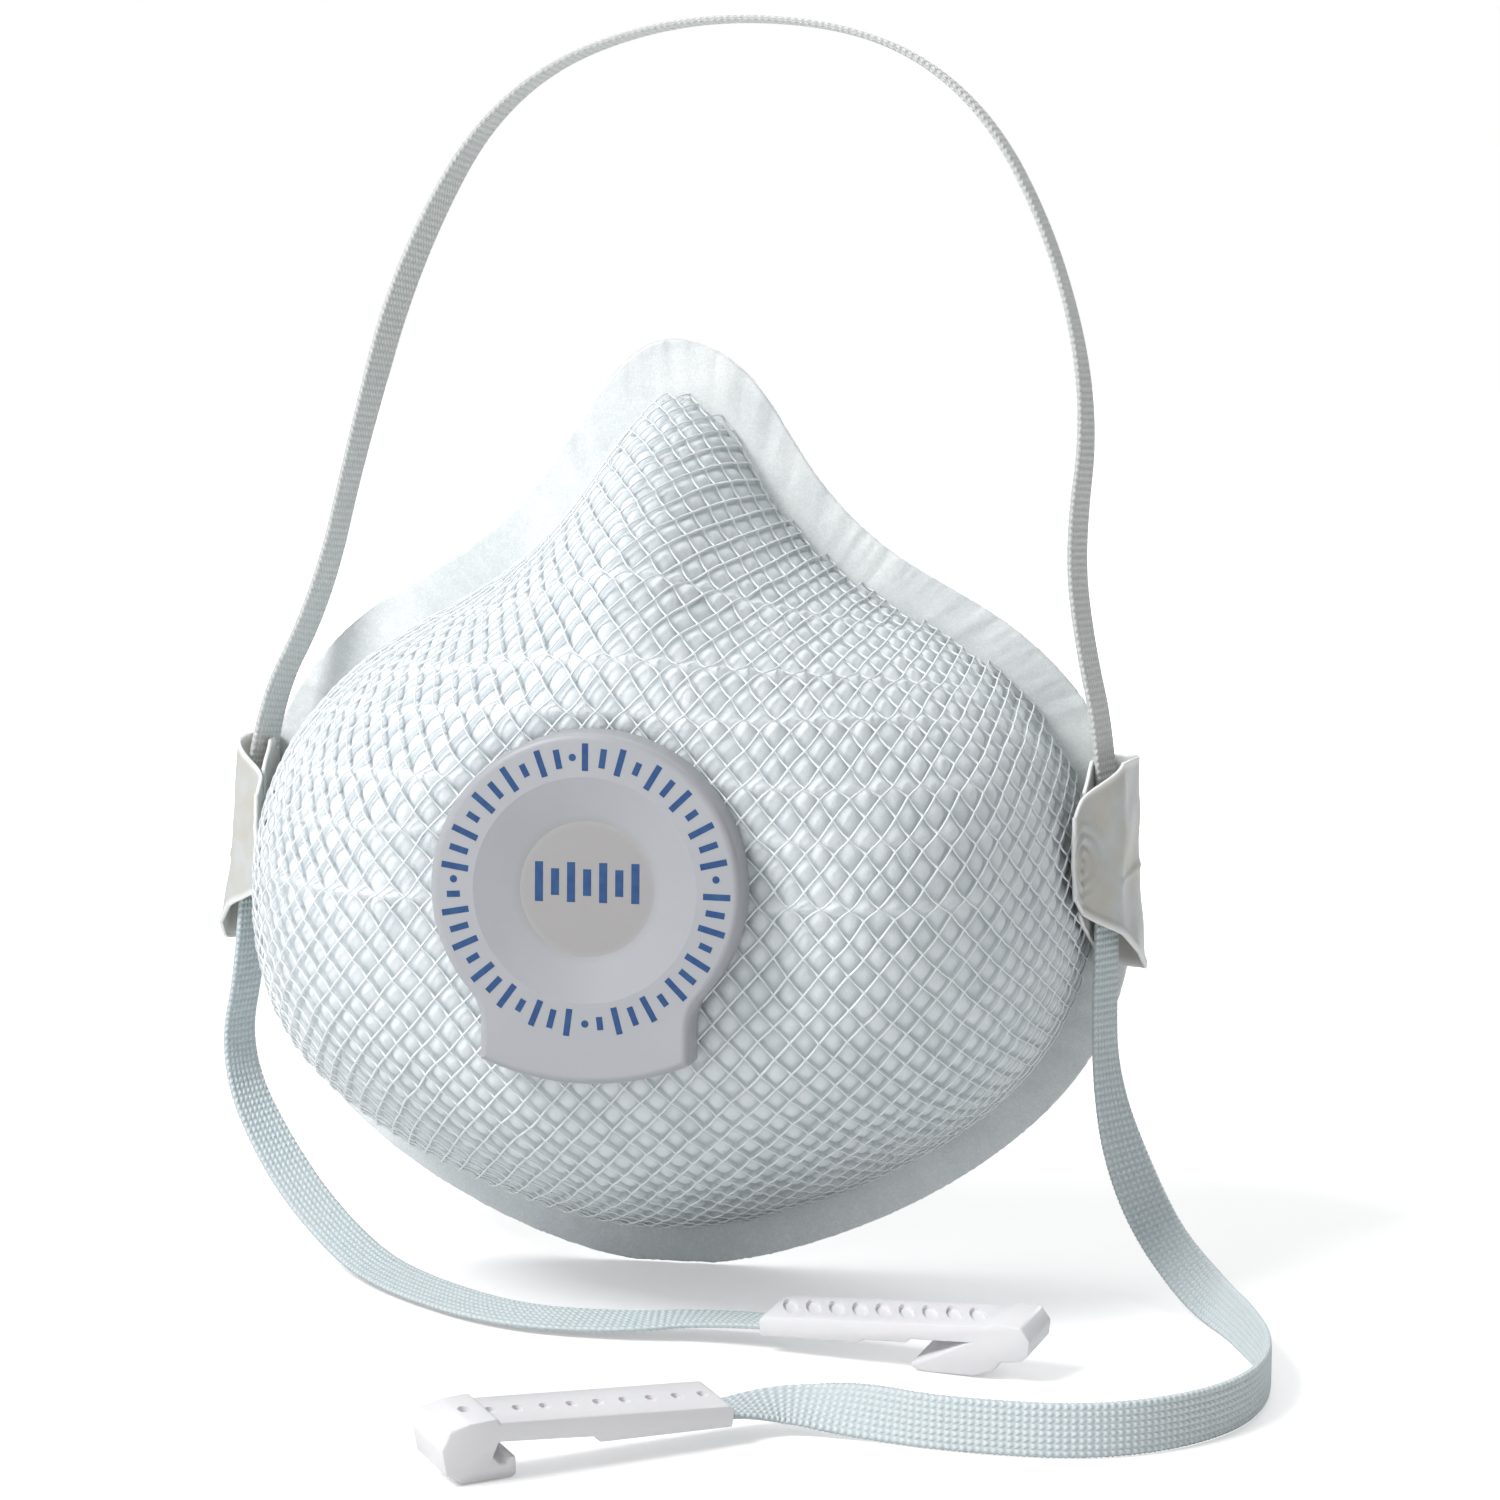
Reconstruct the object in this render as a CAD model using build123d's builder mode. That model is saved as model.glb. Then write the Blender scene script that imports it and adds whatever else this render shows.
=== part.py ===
"""Cup-shaped disposable dust mask with an exhalation valve and a clip-together strap.

Millimetres, +Z up. The mask stands on its chin with its front facing -Y, and X = 0 is
its plane of symmetry. The floor is Z = 0. The two clips lie on the floor in front.
"""
import os
from math import atan2, cos, hypot, pi, radians, sin, tan

from build123d import *

os.makedirs("parts", exist_ok=True)

# Cup
rim_y = 28.9                # the rim at nose and chin
rim_sweep_radius = 240.0    # the cheeks curve back around the face
cup_depth = 60.0            # from rim_y to the flat front under the valve
flange_width = 6.2          # visible flat edge outside the cup
flange_thick = 1.2
front_radius = 24.5         # flat front face that carries the valve
valve_z = 65.0              # valve axis height
cheek_back = 10.0           # how far the cheeks reach behind rim_y

# Half outline of the rim, from the nose down to the chin, as (x, z). The floor flattens
# the chin, which bears on it.
rim_half = [
    (0.0, 138.0), (9.5, 133.6), (18.6, 120.8), (31.5, 107.3), (48.2, 97.0),
    (62.0, 81.5), (67.5, 58.5), (62.3, 33.5), (45.3, 15.6), (23.4, 4.4), (0.0, -0.4),
]
# How full the cup wall is below each outline point: low is a straight slope, high is bulged
fullness_half = [1.45, 1.45, 1.5, 1.65, 1.85, 2.1, 2.25, 2.2, 2.05, 1.9, 1.85]
section_steps = [0.0, 0.16, 0.34, 0.52, 0.68, 0.81, 0.91, 0.97, 1.0]

# Layers of the cup, outside to inside, each as (name, distance in from the outside, thickness)
layers = [
    ("outer_net", 0.0, 0.6),
    ("cover_web", 0.7, 0.5),
    ("filter_layer", 1.3, 0.8),
    ("inner_shell", 2.2, 0.9),
]
stack_thick = 3.1

# Valve: heights are measured forward from the flat front of the net
throat_radius = 11.2
collar_radius = 13.0
collar_tail = 4.6           # how far the collar reaches behind the net's front
seat_radius = 20.0
seat_thick = 1.0
seat_lip = 1.9              # height of the sealing lip
spoke_width = 1.5
hub_radius = 2.4
pin_radius = 1.0
pin_top = 3.9
flap_radius = 12.4
flap_thick = 0.5
flap_hole = 1.07
cover_radius = 21.25
cover_height = 7.0
cover_lift = 0.15           # the cover's foot above the net
cover_wall = 1.2
dish_rim_radius = 15.3
dish_floor_radius = 9.2
dish_depth = 1.8
tongue_half = 14.3
tongue_side = 23.3          # lower end of the tongue's straight sides, below the axis
tongue_end = 26.3           # lowest point of its curved edge
neck_fillet = 7.0
outlet_width = 22.0
outlet_height = 2.6
ring_radius = 18.0
ring_thick = 1.2

# Strap tabs: flat folded sleeves on the cheeks
tab_x = 64.4
tab_y = 28.5
tab_lean = 7.0              # degrees, along the cheek wall
tab_rear = 9.0
tab_front = 10.5
tab_thick = 5.1
tab_bottom = 46.0
tab_top = 77.5
mouth_length = 10.4
mouth_gap = 3.9
weld_radius = 2.2

# Strap: a band 7 mm wide and 1 mm thick, as a tube of the same section
strap_tube = 3.0
band_floor_z = 3.6          # centre of the band where it stands on edge on the floor

head_route = [
    (-64.4, 28.5, 63.0), (-64.3, 28.6, 80.5), (-57.4, 30.0, 98.5), (-52.2, 30.8, 122.0),
    (-43.6, 31.4, 149.5), (-28.0, 31.8, 174.5), (-3.0, 32.0, 186.2), (24.0, 32.0, 185.0),
    (40.3, 31.8, 172.5), (53.3, 31.4, 152.0), (59.7, 30.8, 129.0), (56.9, 30.2, 108.0),
    (60.2, 29.3, 94.5), (64.3, 28.6, 79.5), (64.4, 28.5, 63.0),
]
left_route = [
    (-64.4, 28.5, 63.0), (-64.5, 28.6, 45.0), (-67.6, 30.2, 27.5), (-61.6, 26.0, 11.5),
    (-49.5, 13.5, 1.8), (-34.0, -4.0, 1.6), (-15.0, -17.0, 1.6),
    (1.5, -19.2, 1.9), (13.2, -17.6, 2.9), (23.3, -20.5, 3.4),
]
right_route = [
    (64.4, 28.5, 63.0), (64.5, 28.4, 46.0), (66.2, 27.4, 28.5), (72.6, 24.2, 11.5),
    (81.0, 12.0, band_floor_z), (88.2, -9.0, band_floor_z), (93.6, -33.0, band_floor_z),
    (89.6, -57.0, band_floor_z), (74.5, -73.0, band_floor_z), (54.5, -72.6, band_floor_z),
    (42.5, -67.6, band_floor_z), (34.5, -65.6, 3.5), (28.7, -67.2, 3.5), (24.2, -71.2, 3.5),
]

# Clips: a hook profile in the upright plane, as wide as the strap needs
clip_width = 8.0
clip_end_z = 2.2            # underside of the bar at the strap end
hook_clip_turn = -16.0      # degrees about Z, from +X
catch_clip_turn = 222.0


def mirrored(half):
    """The whole outline from its right half, which starts and ends on X = 0."""
    return half + [(-x, z) for x, z in reversed(half[1:-1])]


def inset(half, distance):
    """Half outline points moved inward along their normals."""
    around = mirrored(half)
    moved = []
    for i in range(len(half)):
        x0, z0 = around[i - 1]
        x1, z1 = around[(i + 1) % len(around)]
        length = hypot(x1 - x0, z1 - z0)
        nx = (z1 - z0) / length
        nz = -(x1 - x0) / length
        x, z = half[i]
        moved.append((x + nx * distance, z + nz * distance))
    return moved


def cup_section(step, depth_in):
    """Half outline of the cup at a fraction of its depth, for a surface depth_in inside."""
    half = []
    rim = inset(rim_half, flange_width + depth_in)
    for (x, z), power in zip(rim, fullness_half):
        angle = atan2(x, z - valve_z)
        front_x = (front_radius - depth_in) * sin(angle)
        front_z = valve_z + (front_radius - depth_in) * cos(angle)
        share = (1 - step ** power) ** (1 / power)
        half.append((front_x + (x - front_x) * share, front_z + (z - front_z) * share))
    return half


def cup_body(depth_in):
    """Solid dome bounded by the cup surface depth_in inside the outer face."""
    back_y = rim_y + cheek_back
    length = cup_depth + cheek_back - depth_in
    with BuildPart() as body:
        for step in section_steps:
            with BuildSketch(Plane.XZ.offset(-(back_y - length * step))):
                with BuildLine():
                    Spline(*mirrored(cup_section(step, depth_in)), periodic=True)
                make_face()
        loft()
    return body.part


def swept_back(radius):
    """Upright cylinder whose front face is the swept-back rim surface."""
    with BuildPart() as body:
        with BuildSketch(Plane.XY.offset(-20)):
            with Locations((0, rim_y + rim_sweep_radius)):
                Circle(radius)
        extrude(amount=190)
    return body.part


front_y = rim_y - cup_depth
valve_plane = Plane(origin=(0, front_y, valve_z), x_dir=(1, 0, 0), z_dir=(0, -1, 0))
rim_cylinder = swept_back(rim_sweep_radius)

# The four layers of the cup, cut to the rim and bored for the valve
for layer_name, layer_in, layer_thick in layers:
    outer_dome = cup_body(layer_in)
    inner_dome = cup_body(layer_in + layer_thick)
    with BuildPart() as cup:
        add(outer_dome)
        add(inner_dome, mode=Mode.SUBTRACT)
        add(rim_cylinder, mode=Mode.SUBTRACT)
        with BuildSketch(valve_plane.offset(-8)):
            Circle(collar_radius + 0.1)
        extrude(amount=16, mode=Mode.SUBTRACT)
    cup.part.label = layer_name
    export_step(cup.part, f"parts/{layer_name}.step")

# Flat heat-sealed rim
rim_back_cylinder = swept_back(rim_sweep_radius - flange_thick)
with BuildPart() as rim_flange:
    with BuildSketch(Plane.XZ.offset(-(rim_y + 14))):
        with BuildLine():
            Spline(*mirrored(rim_half), periodic=True)
        make_face()
        with BuildLine():
            Spline(*mirrored(inset(rim_half, flange_width + stack_thick)), periodic=True)
        make_face(mode=Mode.SUBTRACT)
    extrude(amount=16)
    add(rim_cylinder, mode=Mode.INTERSECT)
    add(rim_back_cylinder, mode=Mode.SUBTRACT)
    split(bisect_by=Plane.XY)
rim_flange.part.label = "rim_flange"
export_step(rim_flange.part, "parts/rim_flange.step")

# Folded strap tabs: a sleeve for the strap, closed in front by a weld to the cheek
for side, side_name in ((1, "right"), (-1, "left")):
    tab_plane = Plane(
        origin=(side * tab_x, tab_y, 0),
        x_dir=(side * sin(radians(tab_lean)), cos(radians(tab_lean)), 0),
        z_dir=(0, 0, 1),
    )
    with BuildPart() as strap_tab:
        with BuildSketch(tab_plane.offset(tab_bottom)):
            with Locations(((tab_rear - tab_front) / 2, 0)):
                RectangleRounded(tab_rear + tab_front, tab_thick, tab_thick / 2 - 0.1)
            RectangleRounded(mouth_length, mouth_gap, mouth_gap / 2 - 0.1, mode=Mode.SUBTRACT)
        extrude(amount=tab_top - tab_bottom)
        side_plane = Plane(
            origin=(side * tab_x, tab_y, 0),
            x_dir=tab_plane.x_dir,
            z_dir=Vector(*tab_plane.x_dir).cross(Vector(0, 0, 1)),
        )
        with BuildSketch(side_plane):
            with BuildLine():
                Polyline(
                    (-tab_front - 1, tab_bottom - 1), (tab_rear - 2, tab_bottom - 1),
                    (-tab_front - 1, tab_bottom + 9), close=True,
                )
            make_face()
            with BuildLine():
                Polyline(
                    (-tab_front - 1, tab_top + 1), (-2.5, tab_top + 1),
                    (-tab_front - 1, tab_top - 6), close=True,
                )
            make_face()
        extrude(amount=tab_thick, both=True, mode=Mode.SUBTRACT)
        with BuildSketch(side_plane.offset(side * tab_thick / 2)):
            with Locations((-tab_front + weld_radius + 0.6, (tab_bottom + tab_top) / 2)):
                Circle(weld_radius)
        extrude(amount=-side * 0.3, mode=Mode.SUBTRACT)
        add(rim_cylinder, mode=Mode.SUBTRACT)
    strap_tab.part.label = f"strap_tab_{side_name}"
    export_step(strap_tab.part, f"parts/strap_tab_{side_name}.step")

# Valve seat: flange on the net, collar through the cup, sealing lip, spokes and centre pin
with BuildPart() as valve_seat:
    with BuildSketch(valve_plane):
        Circle(seat_radius)
        Circle(throat_radius, mode=Mode.SUBTRACT)
    extrude(amount=seat_thick)
    with BuildSketch(valve_plane.offset(-collar_tail)):
        Circle(collar_radius)
        Circle(throat_radius, mode=Mode.SUBTRACT)
    extrude(amount=collar_tail)
    with BuildSketch(valve_plane.offset(seat_thick)):
        Circle(throat_radius + 0.9)
        Circle(throat_radius, mode=Mode.SUBTRACT)
    extrude(amount=seat_lip - seat_thick)
    with BuildSketch(valve_plane.offset(-1.2)):
        with PolarLocations(0, 2, start_angle=45, angular_range=180):
            Rectangle(2 * throat_radius + 0.6, spoke_width)
        Circle(hub_radius)
    extrude(amount=seat_thick + 1.2)
    with BuildSketch(valve_plane.offset(seat_thick)):
        Circle(hub_radius)
    extrude(amount=seat_lip - seat_thick)
    with BuildSketch(valve_plane.offset(seat_lip)):
        Circle(pin_radius)
    extrude(amount=pin_top - seat_lip)
valve_seat.part.label = "valve_seat"
export_step(valve_seat.part, "parts/valve_seat.step")

# Silicone flap, resting on the lip and guided by the pin
with BuildPart() as valve_flap:
    with BuildSketch(valve_plane.offset(seat_lip + 0.02)):
        Circle(flap_radius)
        Circle(flap_hole, mode=Mode.SUBTRACT)
    extrude(amount=flap_thick)
valve_flap.part.label = "valve_flap"
export_step(valve_flap.part, "parts/valve_flap.step")

# Ring that grips the collar inside the cup
with BuildPart() as valve_backing_ring:
    with BuildSketch(valve_plane.offset(-stack_thick - 0.1 - ring_thick)):
        Circle(ring_radius)
        Circle(collar_radius + 0.05, mode=Mode.SUBTRACT)
    extrude(amount=ring_thick)
valve_backing_ring.part.label = "valve_backing_ring"
export_step(valve_backing_ring.part, "parts/valve_backing_ring.step")


def dish(top_radius, floor_radius, floor_height, top_height):
    """Frustum about the valve axis, wide at its front."""
    with BuildPart() as body:
        with BuildSketch(valve_plane.offset(floor_height)):
            Circle(floor_radius)
        with BuildSketch(valve_plane.offset(top_height)):
            Circle(top_radius)
        loft()
    return body.part


def cover_block(wall, bottom, top):
    """Round cap with its outlet tongue, as a block drawn in by a wall thickness."""
    with BuildPart() as body:
        with BuildSketch(valve_plane.offset(bottom)) as outline:
            Circle(cover_radius)
            with BuildLine():
                Polyline((-tongue_half, -tongue_side), (-tongue_half, -8), (tongue_half, -8),
                         (tongue_half, -tongue_side))
                ThreePointArc((tongue_half, -tongue_side), (0, -tongue_end),
                              (-tongue_half, -tongue_side))
            make_face()
            fillet(outline.vertices().sort_by(Axis.Y)[2:4], neck_fillet)
            if wall:
                offset(amount=-wall, mode=Mode.REPLACE)
        extrude(amount=top - bottom)
    return body.part


# Valve cover: round cap with a shallow dish and an outlet tongue that opens downward
dish_slope = (dish_rim_radius - dish_floor_radius) / dish_depth
dish_floor = cover_height - dish_depth
cover_outside = cover_block(0, cover_lift, cover_height)
cover_inside = cover_block(cover_wall, cover_lift - 1, cover_height - cover_wall)
dish_outside = dish(dish_rim_radius, dish_floor_radius, dish_floor, cover_height)
dish_inside = dish(dish_rim_radius + dish_slope, dish_floor_radius,
                   dish_floor - cover_wall, cover_height - cover_wall + 1)
with BuildPart() as valve_cover:
    add(cover_outside)
    fillet(valve_cover.faces().sort_by(Axis.Y)[0].edges(), 1.1)
    add(cover_inside, mode=Mode.SUBTRACT)
    add(dish_inside)
    add(dish_outside, mode=Mode.SUBTRACT)
    with BuildSketch(Plane.XY.offset(valve_z - tongue_end - 2)):
        with Locations((0, front_y - seat_thick - outlet_height / 2)):
            Rectangle(outlet_width, outlet_height)
    extrude(amount=8, mode=Mode.SUBTRACT)
valve_cover.part.label = "valve_cover"
export_step(valve_cover.part, "parts/valve_cover.step")


def turn_radii(route):
    """Largest tangent arc at each inner point of a route."""
    radii = []
    for before, here, after in zip(route, route[1:], route[2:]):
        run_in = Vector(*here) - Vector(*before)
        run_out = Vector(*after) - Vector(*here)
        half_turn = radians(run_in.get_angle(run_out)) / 2
        radii.append(0.45 * min(run_in.length, run_out.length) / tan(half_turn))
    return radii


def strap_stretch(name, route):
    """One stretch of the strap: a plain tube on straight runs and tangent arcs."""
    radii = turn_radii(route)
    with BuildPart() as strap:
        with BuildLine():
            path = FilletPolyline(*route, radius=radii)
        with BuildSketch(Plane(origin=path @ 0, z_dir=path % 0)):
            Circle(strap_tube / 2)
        sweep(path=path)
    strap.part.label = name
    export_step(strap.part, f"parts/{name}.step")
    section = pi * strap_tube ** 2 / 4
    print(name, "length", round(path.length, 1), "radii", [round(r) for r in radii],
          "volume share", round(strap.part.volume / (section * path.length), 4))


strap_stretch("strap_head_loop", head_route)
strap_stretch("strap_neck_left", left_route)
strap_stretch("strap_neck_right", right_route)


def clip_plane(end, turn):
    """Upright plane through a strap end: local X along the clip, local Y up."""
    along = (cos(radians(turn)), sin(radians(turn)), 0)
    return Plane(origin=(end[0], end[1], 0), x_dir=along,
                 z_dir=Vector(*along).cross(Vector(0, 0, 1)))


# Hook clip on the left end: a ribbed bar whose barb turns back under it
hook_plane = clip_plane(left_route[-1], hook_clip_turn)
with BuildPart() as hook_clip:
    with BuildSketch(hook_plane):
        with BuildLine():
            Polyline(
                (0, clip_end_z), (22.0, 3.9), (22.6, 4.5), (31.0, 5.0), (26.6, 2.9),
                (22.6, 0.6), (23.4, 0.0), (31.6, 0.0), (34.6, 1.1), (35.6, 2.6),
                (39.2, 3.2), (40.2, 5.2), (39.0, 8.2), (35.6, 8.4), (34.4, 7.6),
                (0.4, 5.1), (0, 4.6), close=True,
            )
        make_face()
    extrude(amount=clip_width / 2, both=True)
    bar_top = Plane(
        origin=hook_plane.from_local_coords((0, 5.07, 0)),
        x_dir=hook_plane.from_local_coords((34.0, 2.5, 0)) - hook_plane.from_local_coords((0, 0, 0)),
        z_dir=Vector(*hook_plane.x_dir) * -2.5 + Vector(0, 0, 34.0),
    )
    with BuildSketch(bar_top):
        with Locations([(3.4 + 3.5 * i, 0) for i in range(9)]):
            SlotOverall(5.0, 1.9, rotation=90)
    extrude(amount=-0.6, mode=Mode.SUBTRACT)
hook_clip.part.label = "hook_clip"
export_step(hook_clip.part, "parts/hook_clip.step")

# Catch clip on the right end: a bar with a hooked head that the barb snaps into
catch_plane = clip_plane(right_route[-1], catch_clip_turn)
with BuildPart() as catch_clip:
    with BuildSketch(catch_plane):
        with BuildLine():
            Polyline(
                (0, clip_end_z), (21.4, 3.6), (22.2, 4.4), (34.0, 5.1), (34.6, 3.2),
                (33.6, 2.0), (32.6, 2.0), (32.4, 3.0), (31.4, 3.0), (31.0, 0.4),
                (31.6, 0.0), (39.6, 0.0), (41.2, 1.6), (42.0, 5.8), (41.2, 8.0),
                (34.8, 8.3), (33.8, 7.7), (0.4, 5.2), (0, 4.8), close=True,
            )
        make_face()
    extrude(amount=clip_width / 2, both=True)
    pin_top_plane = Plane(
        origin=catch_plane.from_local_coords((0, 5.17, 0)),
        x_dir=catch_plane.from_local_coords((33.4, 2.5, 0)) - catch_plane.from_local_coords((0, 0, 0)),
        z_dir=Vector(*catch_plane.x_dir) * -2.5 + Vector(0, 0, 33.4),
    )
    with BuildSketch(pin_top_plane):
        with Locations([(3.0 + 3.9 * i, 0) for i in range(10)]):
            Circle(0.7)
    extrude(amount=-0.5, mode=Mode.SUBTRACT)
catch_clip.part.label = "catch_clip"
export_step(catch_clip.part, "parts/catch_clip.step")
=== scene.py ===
"""Disposable dust mask: moulded cup under a net, exhalation valve, welded rim and an elastic strap.

Lengths are in metres. The mask stands on its chin with its front facing -Y.
"""

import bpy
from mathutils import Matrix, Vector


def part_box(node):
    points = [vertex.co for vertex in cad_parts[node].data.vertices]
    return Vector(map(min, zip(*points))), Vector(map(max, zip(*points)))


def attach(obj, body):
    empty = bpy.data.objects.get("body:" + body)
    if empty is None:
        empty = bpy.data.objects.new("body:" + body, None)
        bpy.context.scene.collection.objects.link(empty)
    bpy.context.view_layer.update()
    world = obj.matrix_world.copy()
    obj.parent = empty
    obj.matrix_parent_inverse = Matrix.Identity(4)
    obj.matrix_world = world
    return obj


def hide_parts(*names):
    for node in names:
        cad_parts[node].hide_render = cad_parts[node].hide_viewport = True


bl_info = {
    "name": "Dust Mask",
    "version": (1, 0, 0),
    "blender": (4, 5, 0),
    "location": "View3D > Sidebar > Dust Mask",
    "description": "Builds a cup-shaped dust mask with its net, valve, rim and elastic strap",
    "category": "Add Mesh",
}

from bisect import bisect_left
from math import atan2, ceil, copysign, cos, exp, floor, hypot, pi, radians, sin, sqrt

import bmesh
import bpy
from bpy.props import FloatProperty, FloatVectorProperty, IntProperty, PointerProperty
from mathutils import Matrix, Vector, noise
from mathutils.bvhtree import BVHTree

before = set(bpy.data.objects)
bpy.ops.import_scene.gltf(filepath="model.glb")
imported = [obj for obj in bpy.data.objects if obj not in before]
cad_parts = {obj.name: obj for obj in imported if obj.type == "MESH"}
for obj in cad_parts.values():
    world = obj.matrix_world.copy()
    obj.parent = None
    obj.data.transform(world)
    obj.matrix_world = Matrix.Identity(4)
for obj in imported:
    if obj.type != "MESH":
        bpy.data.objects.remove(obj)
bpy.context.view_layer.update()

MM = 0.001
SEAT_LOW, SEAT_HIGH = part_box("valve_seat")
VALVE_Z = (SEAT_LOW.z + SEAT_HIGH.z) / 2
COVER_LOW, COVER_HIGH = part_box("valve_cover")
CUP_MIDDLE = Vector((0.0, 30 * MM, VALVE_Z))
REARWARD = Vector((0, 1, 0))
# Cells along each side of the square of net that is stretched over the cup
NET_SPAN = 52
# Sockets of a Mix node in its colour mode
FACTOR, FIRST, SECOND, MIXED = 0, 6, 7, 2


def linear(code):
    """Linear colour of an sRGB hex code."""
    parts = [int(code[i:i + 2], 16) / 255 for i in (1, 3, 5)]
    return [c / 12.92 if c <= 0.04045 else ((c + 0.055) / 1.055) ** 2.4 for c in parts] + [1.0]


def clamp(value):
    """The value, held between 0 and 1."""
    return min(max(value, 0.0), 1.0)


def ease(share):
    """A share from 0 to 1 that starts and ends gently."""
    return share * share * (3 - 2 * share)


def blend(one, two, share):
    """Values that lie a share of the way from one list to another."""
    return [a + (b - a) * share for a, b in zip(one, two)]


def spoke_at(angle):
    """Direction out from the valve's axis, turned from straight up."""
    return Vector((sin(angle), 0.0, cos(angle)))


# ---------------------------------------------------------------- settings

def length_setting(name, description, default):
    """A length in metres."""
    return FloatProperty(name=name, description=description, default=default, unit="LENGTH")


def colour_setting(name, description, code):
    """A linear colour, from its sRGB hex code."""
    return FloatVectorProperty(
        name=name, description=description, default=linear(code), size=4, subtype="COLOR")


class MaskSizes(bpy.types.PropertyGroup):
    """Sizes of the soft parts."""

    cell_width: length_setting("Net cell width", "Width of one diamond of the net", 4.1 * MM)
    cell_height: length_setting("Net cell height", "Height of one diamond of the net", 4.7 * MM)
    strand_width: length_setting("Net strand width", "Width of an extruded strand", 0.56 * MM)
    pillow_height: length_setting("Web pillow height", "How far the web bulges in a net cell", 0.84 * MM)
    strap_width: length_setting("Strap width", "Width of the knitted band", 7.0 * MM)
    strap_thickness: length_setting("Strap thickness", "Thickness of the knitted band", 1.0 * MM)
    strap_ribs: IntProperty(name="Strap ribs", description="Knitted rows across the band", default=8)
    picot_pitch: length_setting("Picot pitch", "Distance between loops on the band's edges", 1.0 * MM)
    film_thickness: length_setting("Tab film thickness", "Thickness of the folded tab film", 0.5 * MM)


class MaskColours(bpy.types.PropertyGroup):
    """Colours of the finishes, as linear values."""

    net: colour_setting("Net", "Extruded strands", "#F7FAFB")
    web: colour_setting("Cover web", "Outer nonwoven", "#EAEFF2")
    # Painted shade, drawn in the hollows between the web's pillows
    web_hollow_painted_shade: colour_setting("Cover web in the hollows", "Nonwoven between its pillows", "#B4BEC3")
    felt: colour_setting("Filter felt", "Filter layer", "#E3E6E4")
    liner: colour_setting("Liner", "Inner shell", "#EDEFEE")
    rim: colour_setting("Rim", "Heat-sealed rim", "#F1F4F4")
    # Painted shade: this film colour is darkened to stand for a tab lying in shade
    tab: colour_setting("Tab", "Folded tab film", "#C6CAC9")
    head_band: colour_setting("Head band", "Knitted elastic over the head", "#E3E5E2")
    neck_band: colour_setting("Neck bands", "Knitted elastic behind the neck", "#D6E4E8")
    cover: colour_setting("Valve cover", "Moulded cover", "#B0B2B6")
    seat: colour_setting("Valve seat", "Moulded seat and ring", "#E6E7E6")
    flap: colour_setting("Valve flap", "Silicone disc", "#E9DDB8")
    clip: colour_setting("Clips", "Moulded strap clips", "#EEEDEF")
    ink: colour_setting("Print", "Pad-printed marks", "#123F78")
    floor: colour_setting("Floor", "Studio floor", "#E8E8E8")


def sizes():
    """The size settings of this scene."""
    return bpy.context.scene.dust_mask_sizes


def colours():
    """The colour settings of this scene."""
    return bpy.context.scene.dust_mask_colours


# ---------------------------------------------------------------- materials

def add_node(tree, kind, settings=None, inputs=None):
    """A shader node with its settings, and its inputs linked to sockets or set to values."""
    made = tree.nodes.new(kind)
    for name, value in (settings or {}).items():
        setattr(made, name, value)
    for name, value in (inputs or {}).items():
        if isinstance(value, bpy.types.NodeSocket):
            tree.links.new(value, made.inputs[name])
        else:
            made.inputs[name].default_value = value
    return made


def start_material(name, roughness, ior=1.5, others=None):
    """A new material with its shader's uniform values, its node tree and its coordinates."""
    material = bpy.data.materials.new(name)
    material.use_nodes = True
    tree = material.node_tree
    inputs = tree.nodes["Principled BSDF"].inputs
    for socket, value in {"Roughness": roughness, "IOR": ior, **(others or {})}.items():
        inputs[socket].default_value = value
    return material, tree, add_node(tree, "ShaderNodeTexCoord").outputs


def finish_material(material, tone, bump, gloss=None):
    """Link a material's last nodes to its shader."""
    tree = material.node_tree
    inputs = tree.nodes["Principled BSDF"].inputs
    tree.links.new(tone.outputs[MIXED], inputs["Base Color"])
    tree.links.new(bump.outputs["Normal"], inputs["Normal"])
    if gloss:
        tree.links.new(gloss.outputs["Result"], inputs["Roughness"])
    return material


def net_material():
    """Extruded polypropylene net: glossy, milky strands with slight die lines."""
    material, tree, place = start_material("extruded_polypropylene_net", 0.3, 1.49)
    uneven = add_node(tree, "ShaderNodeTexNoise", None, {
        "Vector": place["Object"], "Scale": 60.0, "Detail": 3.0})
    milky = add_node(tree, "ShaderNodeMix", {"data_type": "RGBA"}, {
        FACTOR: uneven.outputs["Fac"], FIRST: linear("#EEF3F5"), SECOND: tuple(colours().net)})
    gloss = add_node(tree, "ShaderNodeMapRange", None, {
        "Value": uneven.outputs["Fac"], "To Min": 0.22, "To Max": 0.42})
    fine = add_node(tree, "ShaderNodeTexNoise", None, {
        "Vector": place["Object"], "Scale": 2600.0, "Detail": 2.0})
    bump = add_node(tree, "ShaderNodeBump", None, {
        "Strength": 0.3, "Distance": 0.08 * MM, "Height": fine.outputs["Fac"]})
    return finish_material(material, milky, bump, gloss)


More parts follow.
